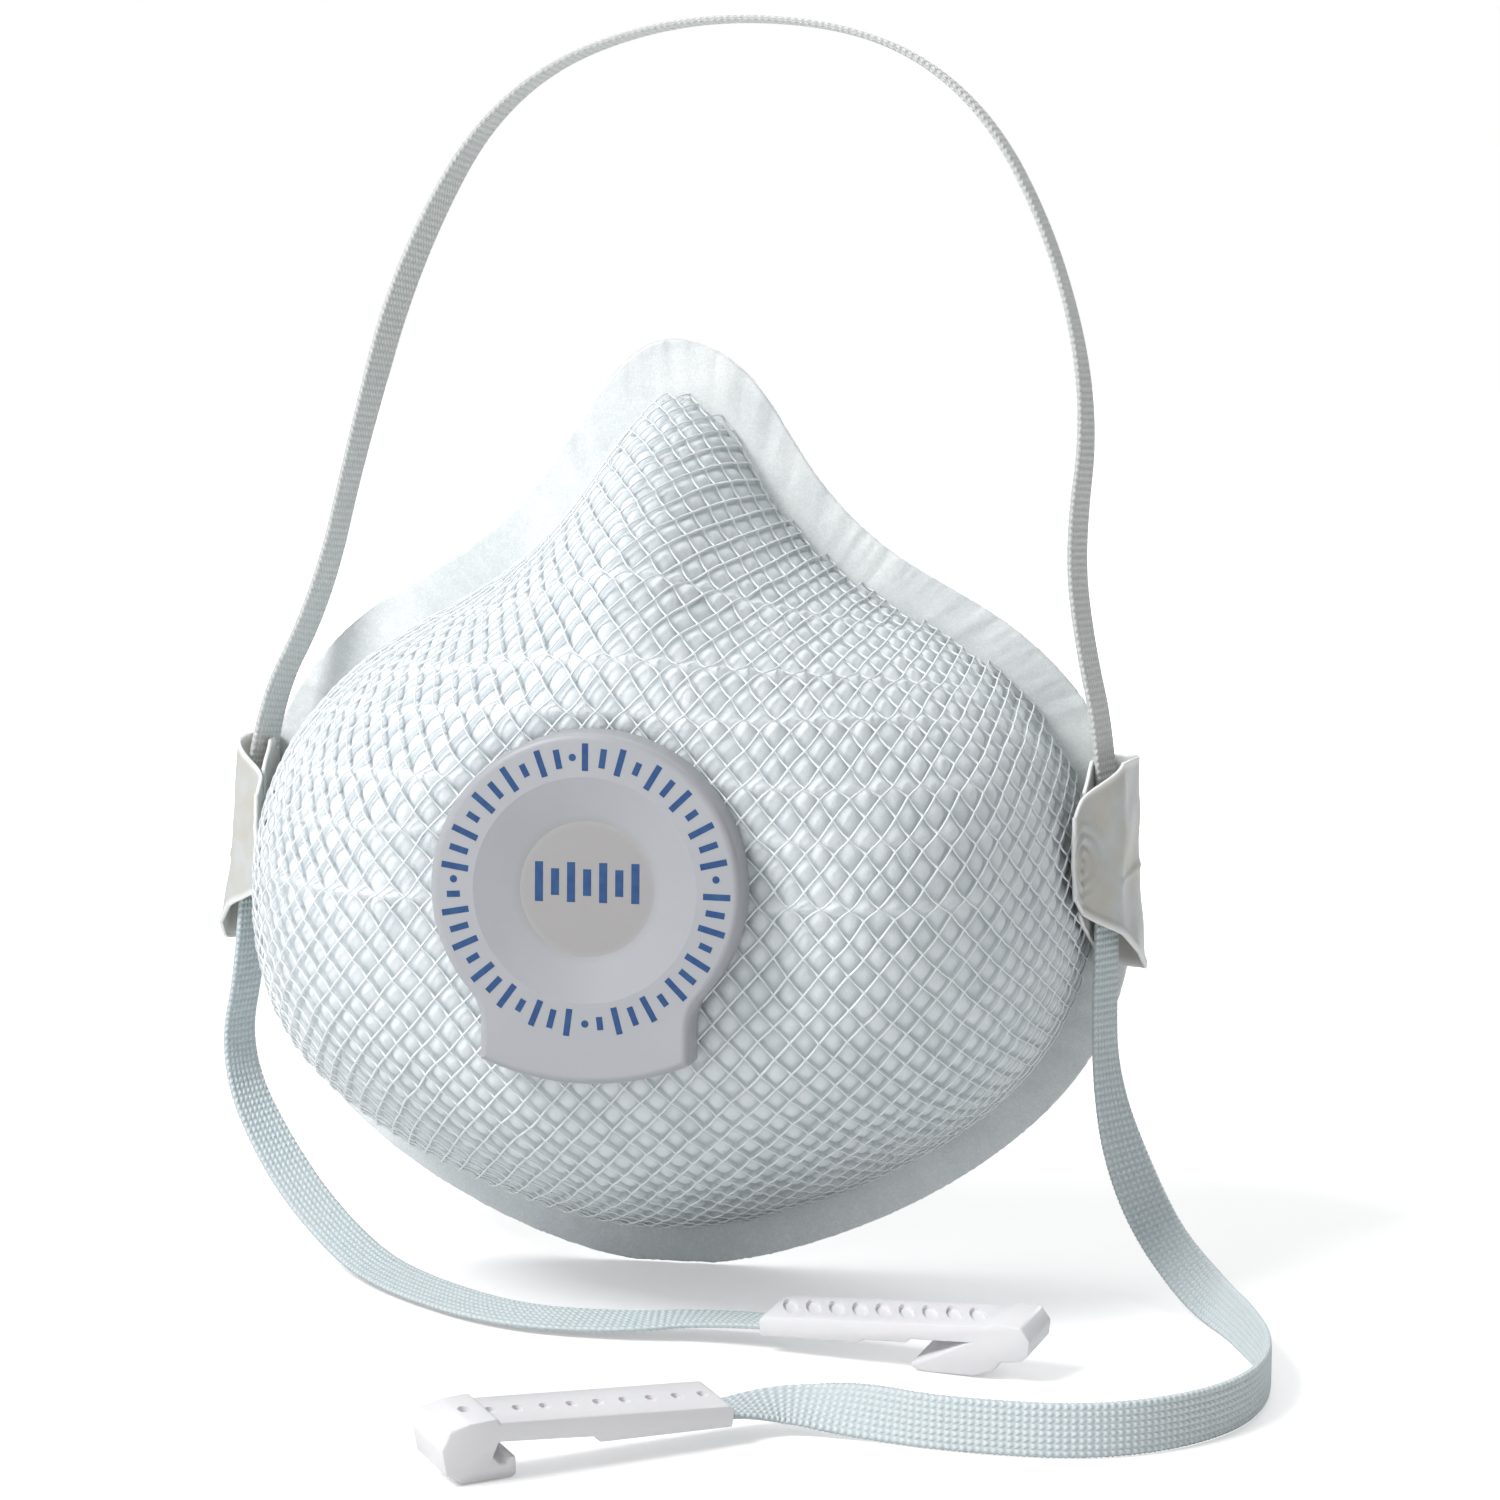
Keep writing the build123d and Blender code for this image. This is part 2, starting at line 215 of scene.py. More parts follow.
def web_material():
    """Spunbond polyester web: matte fibres, with painted shade greying the hollows between its pillows.
    """
    material, tree, place = start_material("spunbond_polyester_web", 0.7, others={"Sheen Weight": 0.15})
    painted_shade_mask = add_node(tree, "ShaderNodeAttribute", {"attribute_name": "pillow"})
    cloud = add_node(tree, "ShaderNodeTexNoise", None, {
        "Vector": place["Object"], "Scale": 140.0, "Detail": 4.0})
    lift = add_node(tree, "ShaderNodeMath", {"operation": "MULTIPLY_ADD"}, {
        0: cloud.outputs["Fac"], 1: 0.5, 2: painted_shade_mask.outputs["Fac"]})
    share = add_node(tree, "ShaderNodeMapRange", None, {
        "Value": lift.outputs["Value"], "From Min": 0.1, "From Max": 0.85})
    # Painted shade: the web turns grey where the pillow share is low, between its pillows, mixed with a
    # random cloudy tone
    painted_shade = add_node(tree, "ShaderNodeMix", {"data_type": "RGBA"}, {
        FACTOR: share.outputs["Result"],
        FIRST: tuple(colours().web_hollow_painted_shade), SECOND: tuple(colours().web)})
    # Filaments are 0.02 mm thick; their bundles are drawn 0.2 mm wide so that they show
    bundles = add_node(tree, "ShaderNodeTexNoise", None, {
        "Vector": place["Object"], "Scale": 1900.0, "Detail": 4.0, "Distortion": 1.6})
    wrinkles = add_node(tree, "ShaderNodeTexNoise", None, {
        "Vector": place["Object"], "Scale": 420.0, "Detail": 3.0, "Distortion": 0.8})
    height = add_node(tree, "ShaderNodeMath", {"operation": "MULTIPLY_ADD"}, {
        0: bundles.outputs["Fac"], 1: 0.35, 2: wrinkles.outputs["Fac"]})
    bump = add_node(tree, "ShaderNodeBump", None, {
        "Strength": 0.45, "Distance": 0.35 * MM, "Height": height.outputs["Value"]})
    return finish_material(material, painted_shade, bump)


def felt_material():
    """Needled filter felt: soft, cloudy and fibrous."""
    material, tree, place = start_material("needled_filter_felt", 0.9, others={"Sheen Weight": 0.2})
    cloud = add_node(tree, "ShaderNodeTexNoise", None, {
        "Vector": place["Object"], "Scale": 160.0, "Detail": 5.0})
    tone = add_node(tree, "ShaderNodeMix", {"data_type": "RGBA"}, {
        FACTOR: cloud.outputs["Fac"], FIRST: linear("#CFD3D1"), SECOND: tuple(colours().felt)})
    # Fibres of 0.03 mm, drawn 0.3 mm
    fibres = add_node(tree, "ShaderNodeTexNoise", None, {
        "Vector": place["Object"], "Scale": 1300.0, "Detail": 5.0, "Distortion": 2.0})
    bump = add_node(tree, "ShaderNodeBump", None, {
        "Strength": 0.6, "Distance": 0.3 * MM, "Height": fibres.outputs["Fac"]})
    return finish_material(material, tone, bump)


def liner_material():
    """Calendered polyester liner: smooth nonwoven with a fine embossed point pattern."""
    material, tree, place = start_material(
        "calendered_polyester_liner", 0.65, others={"Sheen Weight": 0.15})
    cloud = add_node(tree, "ShaderNodeTexNoise", None, {
        "Vector": place["Object"], "Scale": 90.0, "Detail": 4.0})
    tone = add_node(tree, "ShaderNodeMix", {"data_type": "RGBA"}, {
        FACTOR: cloud.outputs["Fac"], FIRST: linear("#D5DADB"), SECOND: tuple(colours().liner)})
    # Bond points 1.2 mm apart
    points = add_node(tree, "ShaderNodeTexVoronoi", None, {
        "Vector": place["Object"], "Scale": 800.0, "Randomness": 0.35})
    dents = add_node(tree, "ShaderNodeMapRange", None, {
        "Value": points.outputs["Distance"], "From Min": 0.1, "From Max": 0.45})
    fibres = add_node(tree, "ShaderNodeTexNoise", None, {
        "Vector": place["Object"], "Scale": 1700.0, "Detail": 4.0, "Distortion": 1.5})
    height = add_node(tree, "ShaderNodeMath", {"operation": "MULTIPLY_ADD"}, {
        0: fibres.outputs["Fac"], 1: 0.5, 2: dents.outputs["Result"]})
    bump = add_node(tree, "ShaderNodeBump", None, {
        "Strength": 0.45, "Distance": 0.2 * MM, "Height": height.outputs["Value"]})
    return finish_material(material, tone, bump)


def rim_material():
    """Heat-sealed rim: pressed fibres that melted to a smooth film, with painted light at the chin: a
    lighter, bluish tint there.
    """
    material, tree, place = start_material("heat_sealed_fibre_rim", 0.48, others={"Coat Weight": 0.08})
    split = add_node(tree, "ShaderNodeSeparateXYZ", None, {"Vector": place["Object"]})
    chin = add_node(tree, "ShaderNodeMapRange", None, {
        "Value": split.outputs["Z"], "From Min": 26 * MM, "From Max": 2 * MM})
    cloud = add_node(tree, "ShaderNodeTexNoise", None, {
        "Vector": place["Object"], "Scale": 110.0, "Detail": 5.0})
    patch = add_node(tree, "ShaderNodeMapRange", None, {
        "Value": cloud.outputs["Fac"], "From Min": 0.35, "From Max": 0.65})
    pressed = add_node(tree, "ShaderNodeMix", {"data_type": "RGBA"}, {
        FACTOR: patch.outputs["Result"], FIRST: linear("#E2E7E8"), SECOND: tuple(colours().rim)})
    # Painted light: the rim turns lighter and bluish towards the chin, from 26 mm down to 2 mm high
    chin_painted_light = add_node(tree, "ShaderNodeMix", {"data_type": "RGBA"}, {
        FACTOR: chin.outputs["Result"], FIRST: pressed.outputs[MIXED], SECOND: linear("#F0F6F9")})
    # Melted fibres 0.05 mm thick, drawn 0.25 mm
    fibres = add_node(tree, "ShaderNodeTexNoise", None, {
        "Vector": place["Object"], "Scale": 1500.0, "Detail": 4.0, "Distortion": 2.2})
    strands = add_node(tree, "ShaderNodeMapRange", None, {
        "Value": fibres.outputs["Fac"], "From Min": 0.42, "From Max": 0.62})
    shown = add_node(tree, "ShaderNodeMix", {"data_type": "RGBA", "blend_type": "MULTIPLY"}, {
        FACTOR: 0.1, FIRST: chin_painted_light.outputs[MIXED], SECOND: strands.outputs["Result"]})
    gloss = add_node(tree, "ShaderNodeMapRange", None, {
        "Value": cloud.outputs["Fac"], "To Min": 0.34, "To Max": 0.62})
    bump = add_node(tree, "ShaderNodeBump", None, {
        "Strength": 0.25, "Distance": 0.15 * MM, "Height": fibres.outputs["Fac"]})
    return finish_material(material, shown, bump, gloss)


def tab_material():
    """Welded film tab: pressed nonwoven gone glassy, darkened by painted shade, beige in random patches
    and with a painted highlight at its cut edges.
    """
    material, tree, place = start_material("welded_film_tab", 0.36, others={"Coat Weight": 0.15})
    edge = add_node(tree, "ShaderNodeAttribute", {"attribute_name": "edge"})
    cloud = add_node(tree, "ShaderNodeTexNoise", None, {
        "Vector": place["Object"], "Scale": 170.0, "Detail": 4.0})
    patch = add_node(tree, "ShaderNodeMapRange", None, {
        "Value": cloud.outputs["Fac"], "From Min": 0.4, "From Max": 0.68})
    # Painted shade in the film's own colour, with beige patches at random
    aged = add_node(tree, "ShaderNodeMix", {"data_type": "RGBA"}, {
        FACTOR: patch.outputs["Result"], FIRST: tuple(colours().tab), SECOND: linear("#C2BFB6")})
    # Painted highlight along the film's cut edges and front end
    painted_edge_highlight = add_node(tree, "ShaderNodeMix", {"data_type": "RGBA"}, {
        FACTOR: edge.outputs["Fac"], FIRST: aged.outputs[MIXED], SECOND: linear("#F6F7F6")})
    # Pressed fibres drawn 0.3 mm
    fibres = add_node(tree, "ShaderNodeTexNoise", None, {
        "Vector": place["Object"], "Scale": 1200.0, "Detail": 3.0, "Distortion": 1.5})
    gloss = add_node(tree, "ShaderNodeMapRange", None, {
        "Value": fibres.outputs["Fac"], "To Min": 0.26, "To Max": 0.5})
    bump = add_node(tree, "ShaderNodeBump", None, {
        "Strength": 0.25, "Distance": 0.12 * MM, "Height": fibres.outputs["Fac"]})
    return finish_material(material, painted_edge_highlight, bump, gloss)


def strap_material(name, yarn_colour, hollow_painted_shade):
    """Knitted elastic: polyester yarn in lengthwise ribs of slanting stitches over rubber threads, with
    painted shade between the stitches.
    """
    material, tree, place = start_material(name, 0.62, others={"Sheen Weight": 0.25})
    split = add_node(tree, "ShaderNodeSeparateXYZ", None, {"Vector": place["UV"]})
    # The map holds metres along and across the band
    rib_pitch = sizes().strap_width / sizes().strap_ribs
    row = add_node(tree, "ShaderNodeMath", {"operation": "MULTIPLY"}, {
        0: split.outputs["Y"], 1: pi / rib_pitch})
    wave = add_node(tree, "ShaderNodeMath", {"operation": "SINE"}, {0: row.outputs["Value"]})
    crest = add_node(tree, "ShaderNodeMath", {"operation": "ABSOLUTE"}, {0: wave.outputs["Value"]})
    # Stitches 1 mm apart that slant back from the middle of each rib
    slant = add_node(tree, "ShaderNodeMath", {"operation": "MULTIPLY"}, {
        0: crest.outputs["Value"], 1: 1.9})
    travel = add_node(tree, "ShaderNodeMath", {"operation": "MULTIPLY_ADD"}, {
        0: split.outputs["X"], 1: 2 * pi / sizes().picot_pitch, 2: slant.outputs["Value"]})
    stitch = add_node(tree, "ShaderNodeMath", {"operation": "SINE"}, {0: travel.outputs["Value"]})
    raised = add_node(tree, "ShaderNodeMapRange", None, {
        "Value": stitch.outputs["Value"], "From Min": -1.0, "From Max": 1.0})
    loops = add_node(tree, "ShaderNodeMath", {"operation": "MULTIPLY"}, {
        0: raised.outputs["Result"], 1: crest.outputs["Value"]})
    fuzz = add_node(tree, "ShaderNodeTexNoise", None, {
        "Vector": place["Object"], "Scale": 1500.0, "Detail": 3.0})
    height = add_node(tree, "ShaderNodeMath", {"operation": "MULTIPLY_ADD"}, {
        0: fuzz.outputs["Fac"], 1: 0.4, 2: loops.outputs["Value"]})
    share = add_node(tree, "ShaderNodeMapRange", None, {
        "Value": height.outputs["Value"], "From Min": 0.0, "From Max": 0.6})
    stain = add_node(tree, "ShaderNodeTexNoise", None, {
        "Vector": place["Object"], "Scale": 45.0, "Detail": 3.0})
    yarn = add_node(tree, "ShaderNodeMix", {"data_type": "RGBA"}, {
        FACTOR: stain.outputs["Fac"], FIRST: linear("#DADEDD"), SECOND: tuple(yarn_colour)})
    # Painted shade: the knit turns to its darker colour in the hollows between stitches and ribs
    knit = add_node(tree, "ShaderNodeMix", {"data_type": "RGBA"}, {
        FACTOR: share.outputs["Result"], FIRST: linear(hollow_painted_shade), SECOND: yarn.outputs[MIXED]})
    bump = add_node(tree, "ShaderNodeBump", None, {
        "Strength": 0.7, "Distance": 0.3 * MM, "Height": height.outputs["Value"]})
    return finish_material(material, knit, bump)


def moulded_material(
        name, colour, shadow, roughness, grain, depth, ior=1.5, subsurface=0.0, dish_floor_painted_shade=None):
    """Moulded plastic or rubber: even colour with faint flow marks and the mould's spark-eroded grain,
    and painted shade on a dish floor when one is given.
    """
    material, tree, place = start_material(name, roughness, ior, {
        "Subsurface Weight": subsurface, "Subsurface Scale": 0.6 * MM})
    flow = add_node(tree, "ShaderNodeTexNoise", None, {
        "Vector": place["Object"], "Scale": 55.0, "Detail": 3.0, "Distortion": 0.7})
    tone = add_node(tree, "ShaderNodeMix", {"data_type": "RGBA"}, {
        FACTOR: flow.outputs["Fac"], FIRST: linear(shadow), SECOND: tuple(colour)})
    if dish_floor_painted_shade:
        # The floor of the dish, measured from the valve's axis, is given painted shade
        flat = add_node(tree, "ShaderNodeVectorMath", {"operation": "MULTIPLY_ADD"}, {
            0: place["Object"], 1: (1, 0, 1), 2: (0, 0, -VALVE_Z)})
        reach = add_node(tree, "ShaderNodeVectorMath", {"operation": "LENGTH"}, {
            0: flat.outputs["Vector"]})
        dish = add_node(tree, "ShaderNodeMapRange", None, {
            "Value": reach.outputs["Value"], "From Min": 10.2 * MM, "From Max": 8.4 * MM})
        tone = add_node(tree, "ShaderNodeMix", {"data_type": "RGBA"}, {
            FACTOR: dish.outputs["Result"], FIRST: tone.outputs[MIXED], SECOND: linear(dish_floor_painted_shade)})
    texture = add_node(tree, "ShaderNodeTexNoise", None, {
        "Vector": place["Object"], "Scale": grain, "Detail": 4.0})
    gloss = add_node(tree, "ShaderNodeMapRange", None, {
        "Value": flow.outputs["Fac"], "To Min": roughness - 0.08, "To Max": roughness + 0.08})
    bump = add_node(tree, "ShaderNodeBump", None, {
        "Strength": 0.35, "Distance": depth, "Height": texture.outputs["Fac"]})
    return finish_material(material, tone, bump, gloss)


def ink_material():
    """Pad-printed ink: thin navy film with pinholes and a soft sheen."""
    material, tree, place = start_material("pad_printed_navy_ink", 0.5)
    pinholes = add_node(tree, "ShaderNodeTexNoise", None, {
        "Vector": place["Object"], "Scale": 900.0, "Detail": 4.0})
    thin = add_node(tree, "ShaderNodeMapRange", None, {
        "Value": pinholes.outputs["Fac"], "From Min": 0.3, "From Max": 0.75})
    tone = add_node(tree, "ShaderNodeMix", {"data_type": "RGBA"}, {
        FACTOR: thin.outputs["Result"], FIRST: tuple(colours().ink), SECOND: linear("#20507F")})
    bump = add_node(tree, "ShaderNodeBump", None, {
        "Strength": 0.2, "Distance": 0.02 * MM, "Height": pinholes.outputs["Fac"]})
    return finish_material(material, tone, bump)


# ---------------------------------------------------------------- shared steps

def make_piece(name, bm, material, body, nodes):
    """Finish a bmesh as a smooth piece that rides on a body and stands for its CAD nodes."""
    mesh = bpy.data.meshes.new(name)
    bm.to_mesh(mesh)
    bm.free()
    mesh.shade_smooth()
    mesh.materials.append(material)
    piece = bpy.data.objects.new(name, mesh)
    bpy.context.scene.collection.objects.link(piece)
    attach(piece, body)
    if nodes:
        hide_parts(*nodes)
    return piece


def thicken(piece, thickness, offset):
    """Give a sheet its thickness: -1 puts it behind the sheet, 0 half on each side."""
    wall = piece.modifiers.new("thickness", "SOLIDIFY")
    wall.thickness = thickness
    wall.offset = offset


def finish_node(node, material):
    """Give a CAD node its finish."""
    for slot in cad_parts[node].material_slots:
        slot.material = material


def rolled_grid(along, around, place, length=1.0, girth=1.0):
    """A grid rolled into a closed tube by place(along, around), 0 to 1, with a map in real sizes."""
    bm = bmesh.new()
    bmesh.ops.create_grid(bm, x_segments=along, y_segments=around, size=0.5)
    flat = bm.loops.layers.uv.new("flat")
    for face in bm.faces:
        for loop in face.loops:
            loop[flat].uv = ((loop.vert.co.x + 0.5) * length, (loop.vert.co.y + 0.5) * girth)
    for vert in bm.verts:
        vert.co = place(vert.co.x + 0.5, vert.co.y + 0.5)
    bmesh.ops.remove_doubles(bm, verts=bm.verts, dist=1e-6)
    open_ends = [edge for edge in bm.edges if edge.is_boundary]
    if open_ends:
        bmesh.ops.holes_fill(bm, edges=open_ends, sides=0)
    bmesh.ops.recalc_face_normals(bm, faces=bm.faces)
    return bm


def wander(x, z, pitch, seed):
    """Smooth unevenness from -1 to 1 that changes over a pitch."""
    return noise.noise(Vector((x / pitch, z / pitch, seed)))


def node_tree(node):
    """Ray-cast tree of a CAD node."""
    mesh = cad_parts[node].data
    return BVHTree.FromPolygons([v.co for v in mesh.vertices], [p.vertices for p in mesh.polygons])


class CupFace:
    """One face of a cup layer, measured outward from the valve axis, to lay a flat pattern on."""

    TURNS = 240

    def __init__(self, node, outside):
        tree = node_tree(node)
        self.rows = []
        for turn in range(self.TURNS):
            # Half a step off the plane of symmetry, where the CAD faces meet
            angle = 2 * pi * (turn + 0.5) / self.TURNS
            spoke = spoke_at(angle)
            row = []
            arc = 0.0
            for step in range(16, 204):
                tilt = radians(step / 2)
                ray = spoke * sin(tilt) + Vector((0.0, -cos(tilt), 0.0))
                if outside:
                    hit, normal, _, _ = tree.ray_cast(CUP_MIDDLE + ray * 0.2, -ray, 0.19)
                else:
                    hit, normal, _, _ = tree.ray_cast(CUP_MIDDLE, ray, 0.2)
                cut_end = hit is not None and step > 120 and normal.y > 0.85
                if hit is None or cut_end:
                    continue
                radius = hypot(hit.x, hit.z - VALVE_Z)
                normal = normal if normal.dot(ray) * (1 if outside else -1) > 0 else -normal
                arc += hypot(radius - row[-1][1], hit.y - row[-1][2]) if row else radius
                row.append(((radius + arc) / 2, radius, hit.y, normal))
            self.rows.append(row)

    def on_row(self, turn, reach):
        """Radius, depth and normal where a pattern distance falls on one spoke."""
        row = self.rows[turn % self.TURNS]
        place = min(max(bisect_left(row, (reach,)), 1), len(row) - 1)
        low, high = row[place - 1], row[place]
        return blend(low[1:], high[1:], clamp((reach - low[0]) / max(high[0] - low[0], 1e-9)))

    def beside(self, angle):
        """The spoke before a direction, and how far on to the next one it lies."""
        turn = (angle / (2 * pi)) % 1.0 * self.TURNS - 0.5
        return floor(turn), turn - floor(turn)

    def edge(self, angle):
        """Pattern distance, radius and depth of the rim in one direction."""
        turn, share = self.beside(angle)
        one, two = (self.rows[near % self.TURNS][-1] for near in (turn, turn + 1))
        return blend(one[:3], two[:3], share)

    def lay(self, across, up, height):
        """Point over the pattern place (across, up), and how far that place is inside the rim."""
        angle = atan2(across, up)
        reach = hypot(across, up)
        turn, share = self.beside(angle)
        radius, depth, normal = blend(self.on_row(turn, reach), self.on_row(turn + 1, reach), share)
        foot = Vector((radius * sin(angle), depth, VALVE_Z + radius * cos(angle)))
        return foot + normal.normalized() * height, self.edge(angle)[0] - reach


# Pleats where the net was gathered in moulding: height over the valve axis, width and depth
PLEATS = [
    (43.5 * MM, 2.0 * MM, 0.8), (30.5 * MM, 2.3 * MM, 1.0), (23.0 * MM, 1.8 * MM, 0.9),
    (13.6 * MM, 2.0 * MM, 0.8), (6.0 * MM, 1.8 * MM, 0.6), (-2.6 * MM, 2.2 * MM, 0.9),
]


def net_place(rise, fall):
    """Where a place of the stretched net lies on the flat pattern, from its strand counts."""
    across = (rise - fall) * sizes().cell_width / 2
    up = (rise + fall) * sizes().cell_height / 2
    across += 1.1 * MM * wander(across, up, 26 * MM, 1.0) + 0.35 * MM * wander(across, up, 6 * MM, 2.0)
    up += 1.1 * MM * wander(across, up, 26 * MM, 3.0) + 0.35 * MM * wander(across, up, 6 * MM, 4.0)
    ridge = 0.0
    for place, width, depth in PLEATS:
        drift = up - place - 1.3 * MM * wander(across, 0.0, 30 * MM, place * 400)
        fade = depth * max(0.0, 1.0 - (across / (62 * MM)) ** 4)
        fade *= clamp((hypot(across, up) - 21 * MM) / (6 * MM))
        up -= 0.62 * fade * drift * exp(-((drift / width) ** 2))
        ridge += fade * exp(-((drift / (0.5 * width)) ** 2))
    return across, up, ridge


# ---------------------------------------------------------------- straps

def strap_line(name, route):
    """Smooth centre line of a strap stretch, as the points of its spline in order."""
    curve = bpy.data.curves.new(name, "CURVE")
    curve.dimensions = "3D"
    curve.resolution_u = 24
    spline = curve.splines.new("NURBS")
    spline.points.add(len(route) - 1)
    for point, place in zip(spline.points, route):
        point.co = (*(c * MM for c in place), 1.0)
    spline.order_u = 3
    spline.use_endpoint_u = True
    holder = bpy.data.objects.new(name, curve)
    mesh = bpy.data.meshes.new_from_object(holder)
    line = [vert.co.copy() for vert in mesh.vertices]
    bpy.data.objects.remove(holder)
    bpy.data.curves.remove(curve)
    bpy.data.meshes.remove(mesh)
    return line


def strap_stations(line, facings, count):
    """Evenly spaced places on a line, each with its centre, band direction and face direction."""
    travelled = [0.0]
    for before, here in zip(line, line[1:]):
        travelled.append(travelled[-1] + (here - before).length)
    stations = []
    for i in range(count + 1):
        share = i / count
        reach = share * travelled[-1]
        k = min(max(bisect_left(travelled, reach), 1), len(line) - 1)
        part = (reach - travelled[k - 1]) / max(travelled[k] - travelled[k - 1], 1e-9)
        centre = line[k - 1].lerp(line[k], part)
        along = (line[min(k + 1, len(line) - 1)] - line[max(k - 2, 0)]).normalized()
        j = next(n for n in range(1, len(facings)) if share <= facings[n][0] or n == len(facings) - 1)
        (before, one), (after, two) = facings[j - 1:j + 1]
        across = Vector(one).lerp(Vector(two), ease(clamp((share - before) / (after - before))))
        across = (across - along * across.dot(along)).normalized()
        stations.append((centre, across, along.cross(across)))
    return stations, travelled[-1]


def make_strap(name, node, route, facings, material):
    """One stretch of the knitted band, ribbed on both faces and looped along both edges."""
    line = strap_line(name, route)
    travelled = sum((b - a).length for a, b in zip(line, line[1:]))
    count = ceil(travelled / (0.3 * MM))
    stations, length = strap_stations(line, facings, count)
    half_width = sizes().strap_width / 2 - 0.15 * MM
    half_thick = sizes().strap_thickness / 2

    def place(along, around):
        centre, across, face = stations[round(along * count)]
        y = 1 - 4 * abs(around % 1.0 - 0.5)
        side = 1 if around % 1.0 < 0.5 else -1
        rib = abs(sin(pi * sizes().strap_ribs * (y + 1) / 2))
        swell = sqrt(max(0.0, 1 - y ** 8)) * (0.66 + 0.34 * rib)
        loop = max(0.0, abs(y) - 0.8) * 5 * 0.2 * MM * cos(2 * pi * along * length / sizes().picot_pitch)
        sideways = across * (y * half_width + copysign(loop, y))
        return centre + sideways + face * (side * half_thick * swell)

    bm = rolled_grid(count, 48, place, length, 2 * sizes().strap_width)
    piece = make_piece(name, bm, material, "mask", [node])
    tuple(line[0])
    return piece


class DUSTMASK_OT_straps(bpy.types.Operator):
    """Knit the three stretches of the elastic band"""

    bl_idname = "dust_mask.straps"
    bl_label = "Straps"

    def execute(self, context):
        # The last colour of each knit is the painted shade between its stitches
        head_knit = strap_material("knitted_polyester_elastic_white", colours().head_band, "#BFC2C0")
        neck_knit = strap_material("knitted_polyester_elastic_bluish", colours().neck_band, "#B2C0C6")
        make_strap(
            "strap_head_band", "strap_head_loop",
            [(-64.4, 28.5, 63.0), (-63.7, 28.6, 80.5), (-54.6, 30.0, 98.5), (-49.3, 30.8, 122.0),
             (-41.7, 31.4, 149.5), (-27.4, 31.8, 174.5), (-3.0, 32.0, 184.9), (25.5, 32.0, 183.9),
             (43.6, 31.8, 173.0), (54.9, 31.4, 152.0), (60.4, 30.8, 129.0), (58.2, 30.2, 108.0),
             (60.0, 29.3, 94.5), (63.6, 28.6, 79.5), (64.4, 28.5, 63.0)],
            [(0.0, (0.38, 0.92, 0.0)), (0.1, (0.28, 0.96, 0.0)), (0.17, (0.21, 0.98, 0.0)),
             (0.27, (0.33, 0.94, 0.0)), (0.44, (0.05, 1.0, 0.0)), (0.56, (0.02, 1.0, 0.0)),
             (0.72, (0.1, 1.0, 0.0)), (0.84, (0.28, 0.96, 0.0)), (1.0, (0.3, 0.94, 0.0))],
            head_knit)
        make_strap(
            "strap_neck_band_left", "strap_neck_left",
            [(-64.4, 28.5, 63.0), (-65.1, 28.6, 45.0), (-68.8, 30.2, 28.5), (-59.4, 26.0, 12.2),
             (-45.6, 15.0, 2.2), (-32.5, -2.0, 1.6), (-15.0, -17.0, 1.6),
             (1.5, -19.2, 1.9), (13.2, -17.6, 2.9), (23.3, -20.5, 3.4)],
            [(0.0, (0.38, 0.92, 0.0)), (0.15, (0.4, 0.9, 0.0)), (0.36, (0.62, 0.7, 0.3)),
             (0.52, (0.66, 0.66, 0.26)), (0.8, (0.2, 0.93, 0.22)), (1.0, (0.28, 0.96, 0.05))],
            neck_knit)
        make_strap(
            "strap_neck_band_right", "strap_neck_right",
            [(64.4, 28.5, 63.0), (63.8, 28.4, 46.0), (64.4, 27.4, 28.5), (70.8, 24.2, 11.5),
             (79.6, 12.0, 3.6), (87.2, -9.0, 3.6), (93.2, -33.0, 3.6), (89.6, -57.0, 3.6),
             (74.5, -73.0, 3.6), (54.5, -72.6, 3.6), (42.5, -67.6, 3.6), (34.5, -65.6, 3.5),
             (28.7, -67.2, 3.5), (24.2, -71.2, 3.5)],
            [(0.0, (0.38, 0.92, 0.0)), (0.12, (0.42, 0.9, 0.0)), (0.26, (0.85, 0.35, 0.4)),
             (0.42, (0.2, 0.05, 1.0)), (0.55, (0.0, 0.0, 1.0)), (0.84, (-0.05, 0.05, 1.0)),
             (0.95, (-0.6, 0.66, 0.45)), (1.0, (-0.66, 0.74, 0.05))],
            neck_knit)
        return {"FINISHED"}


# ---------------------------------------------------------------- cup

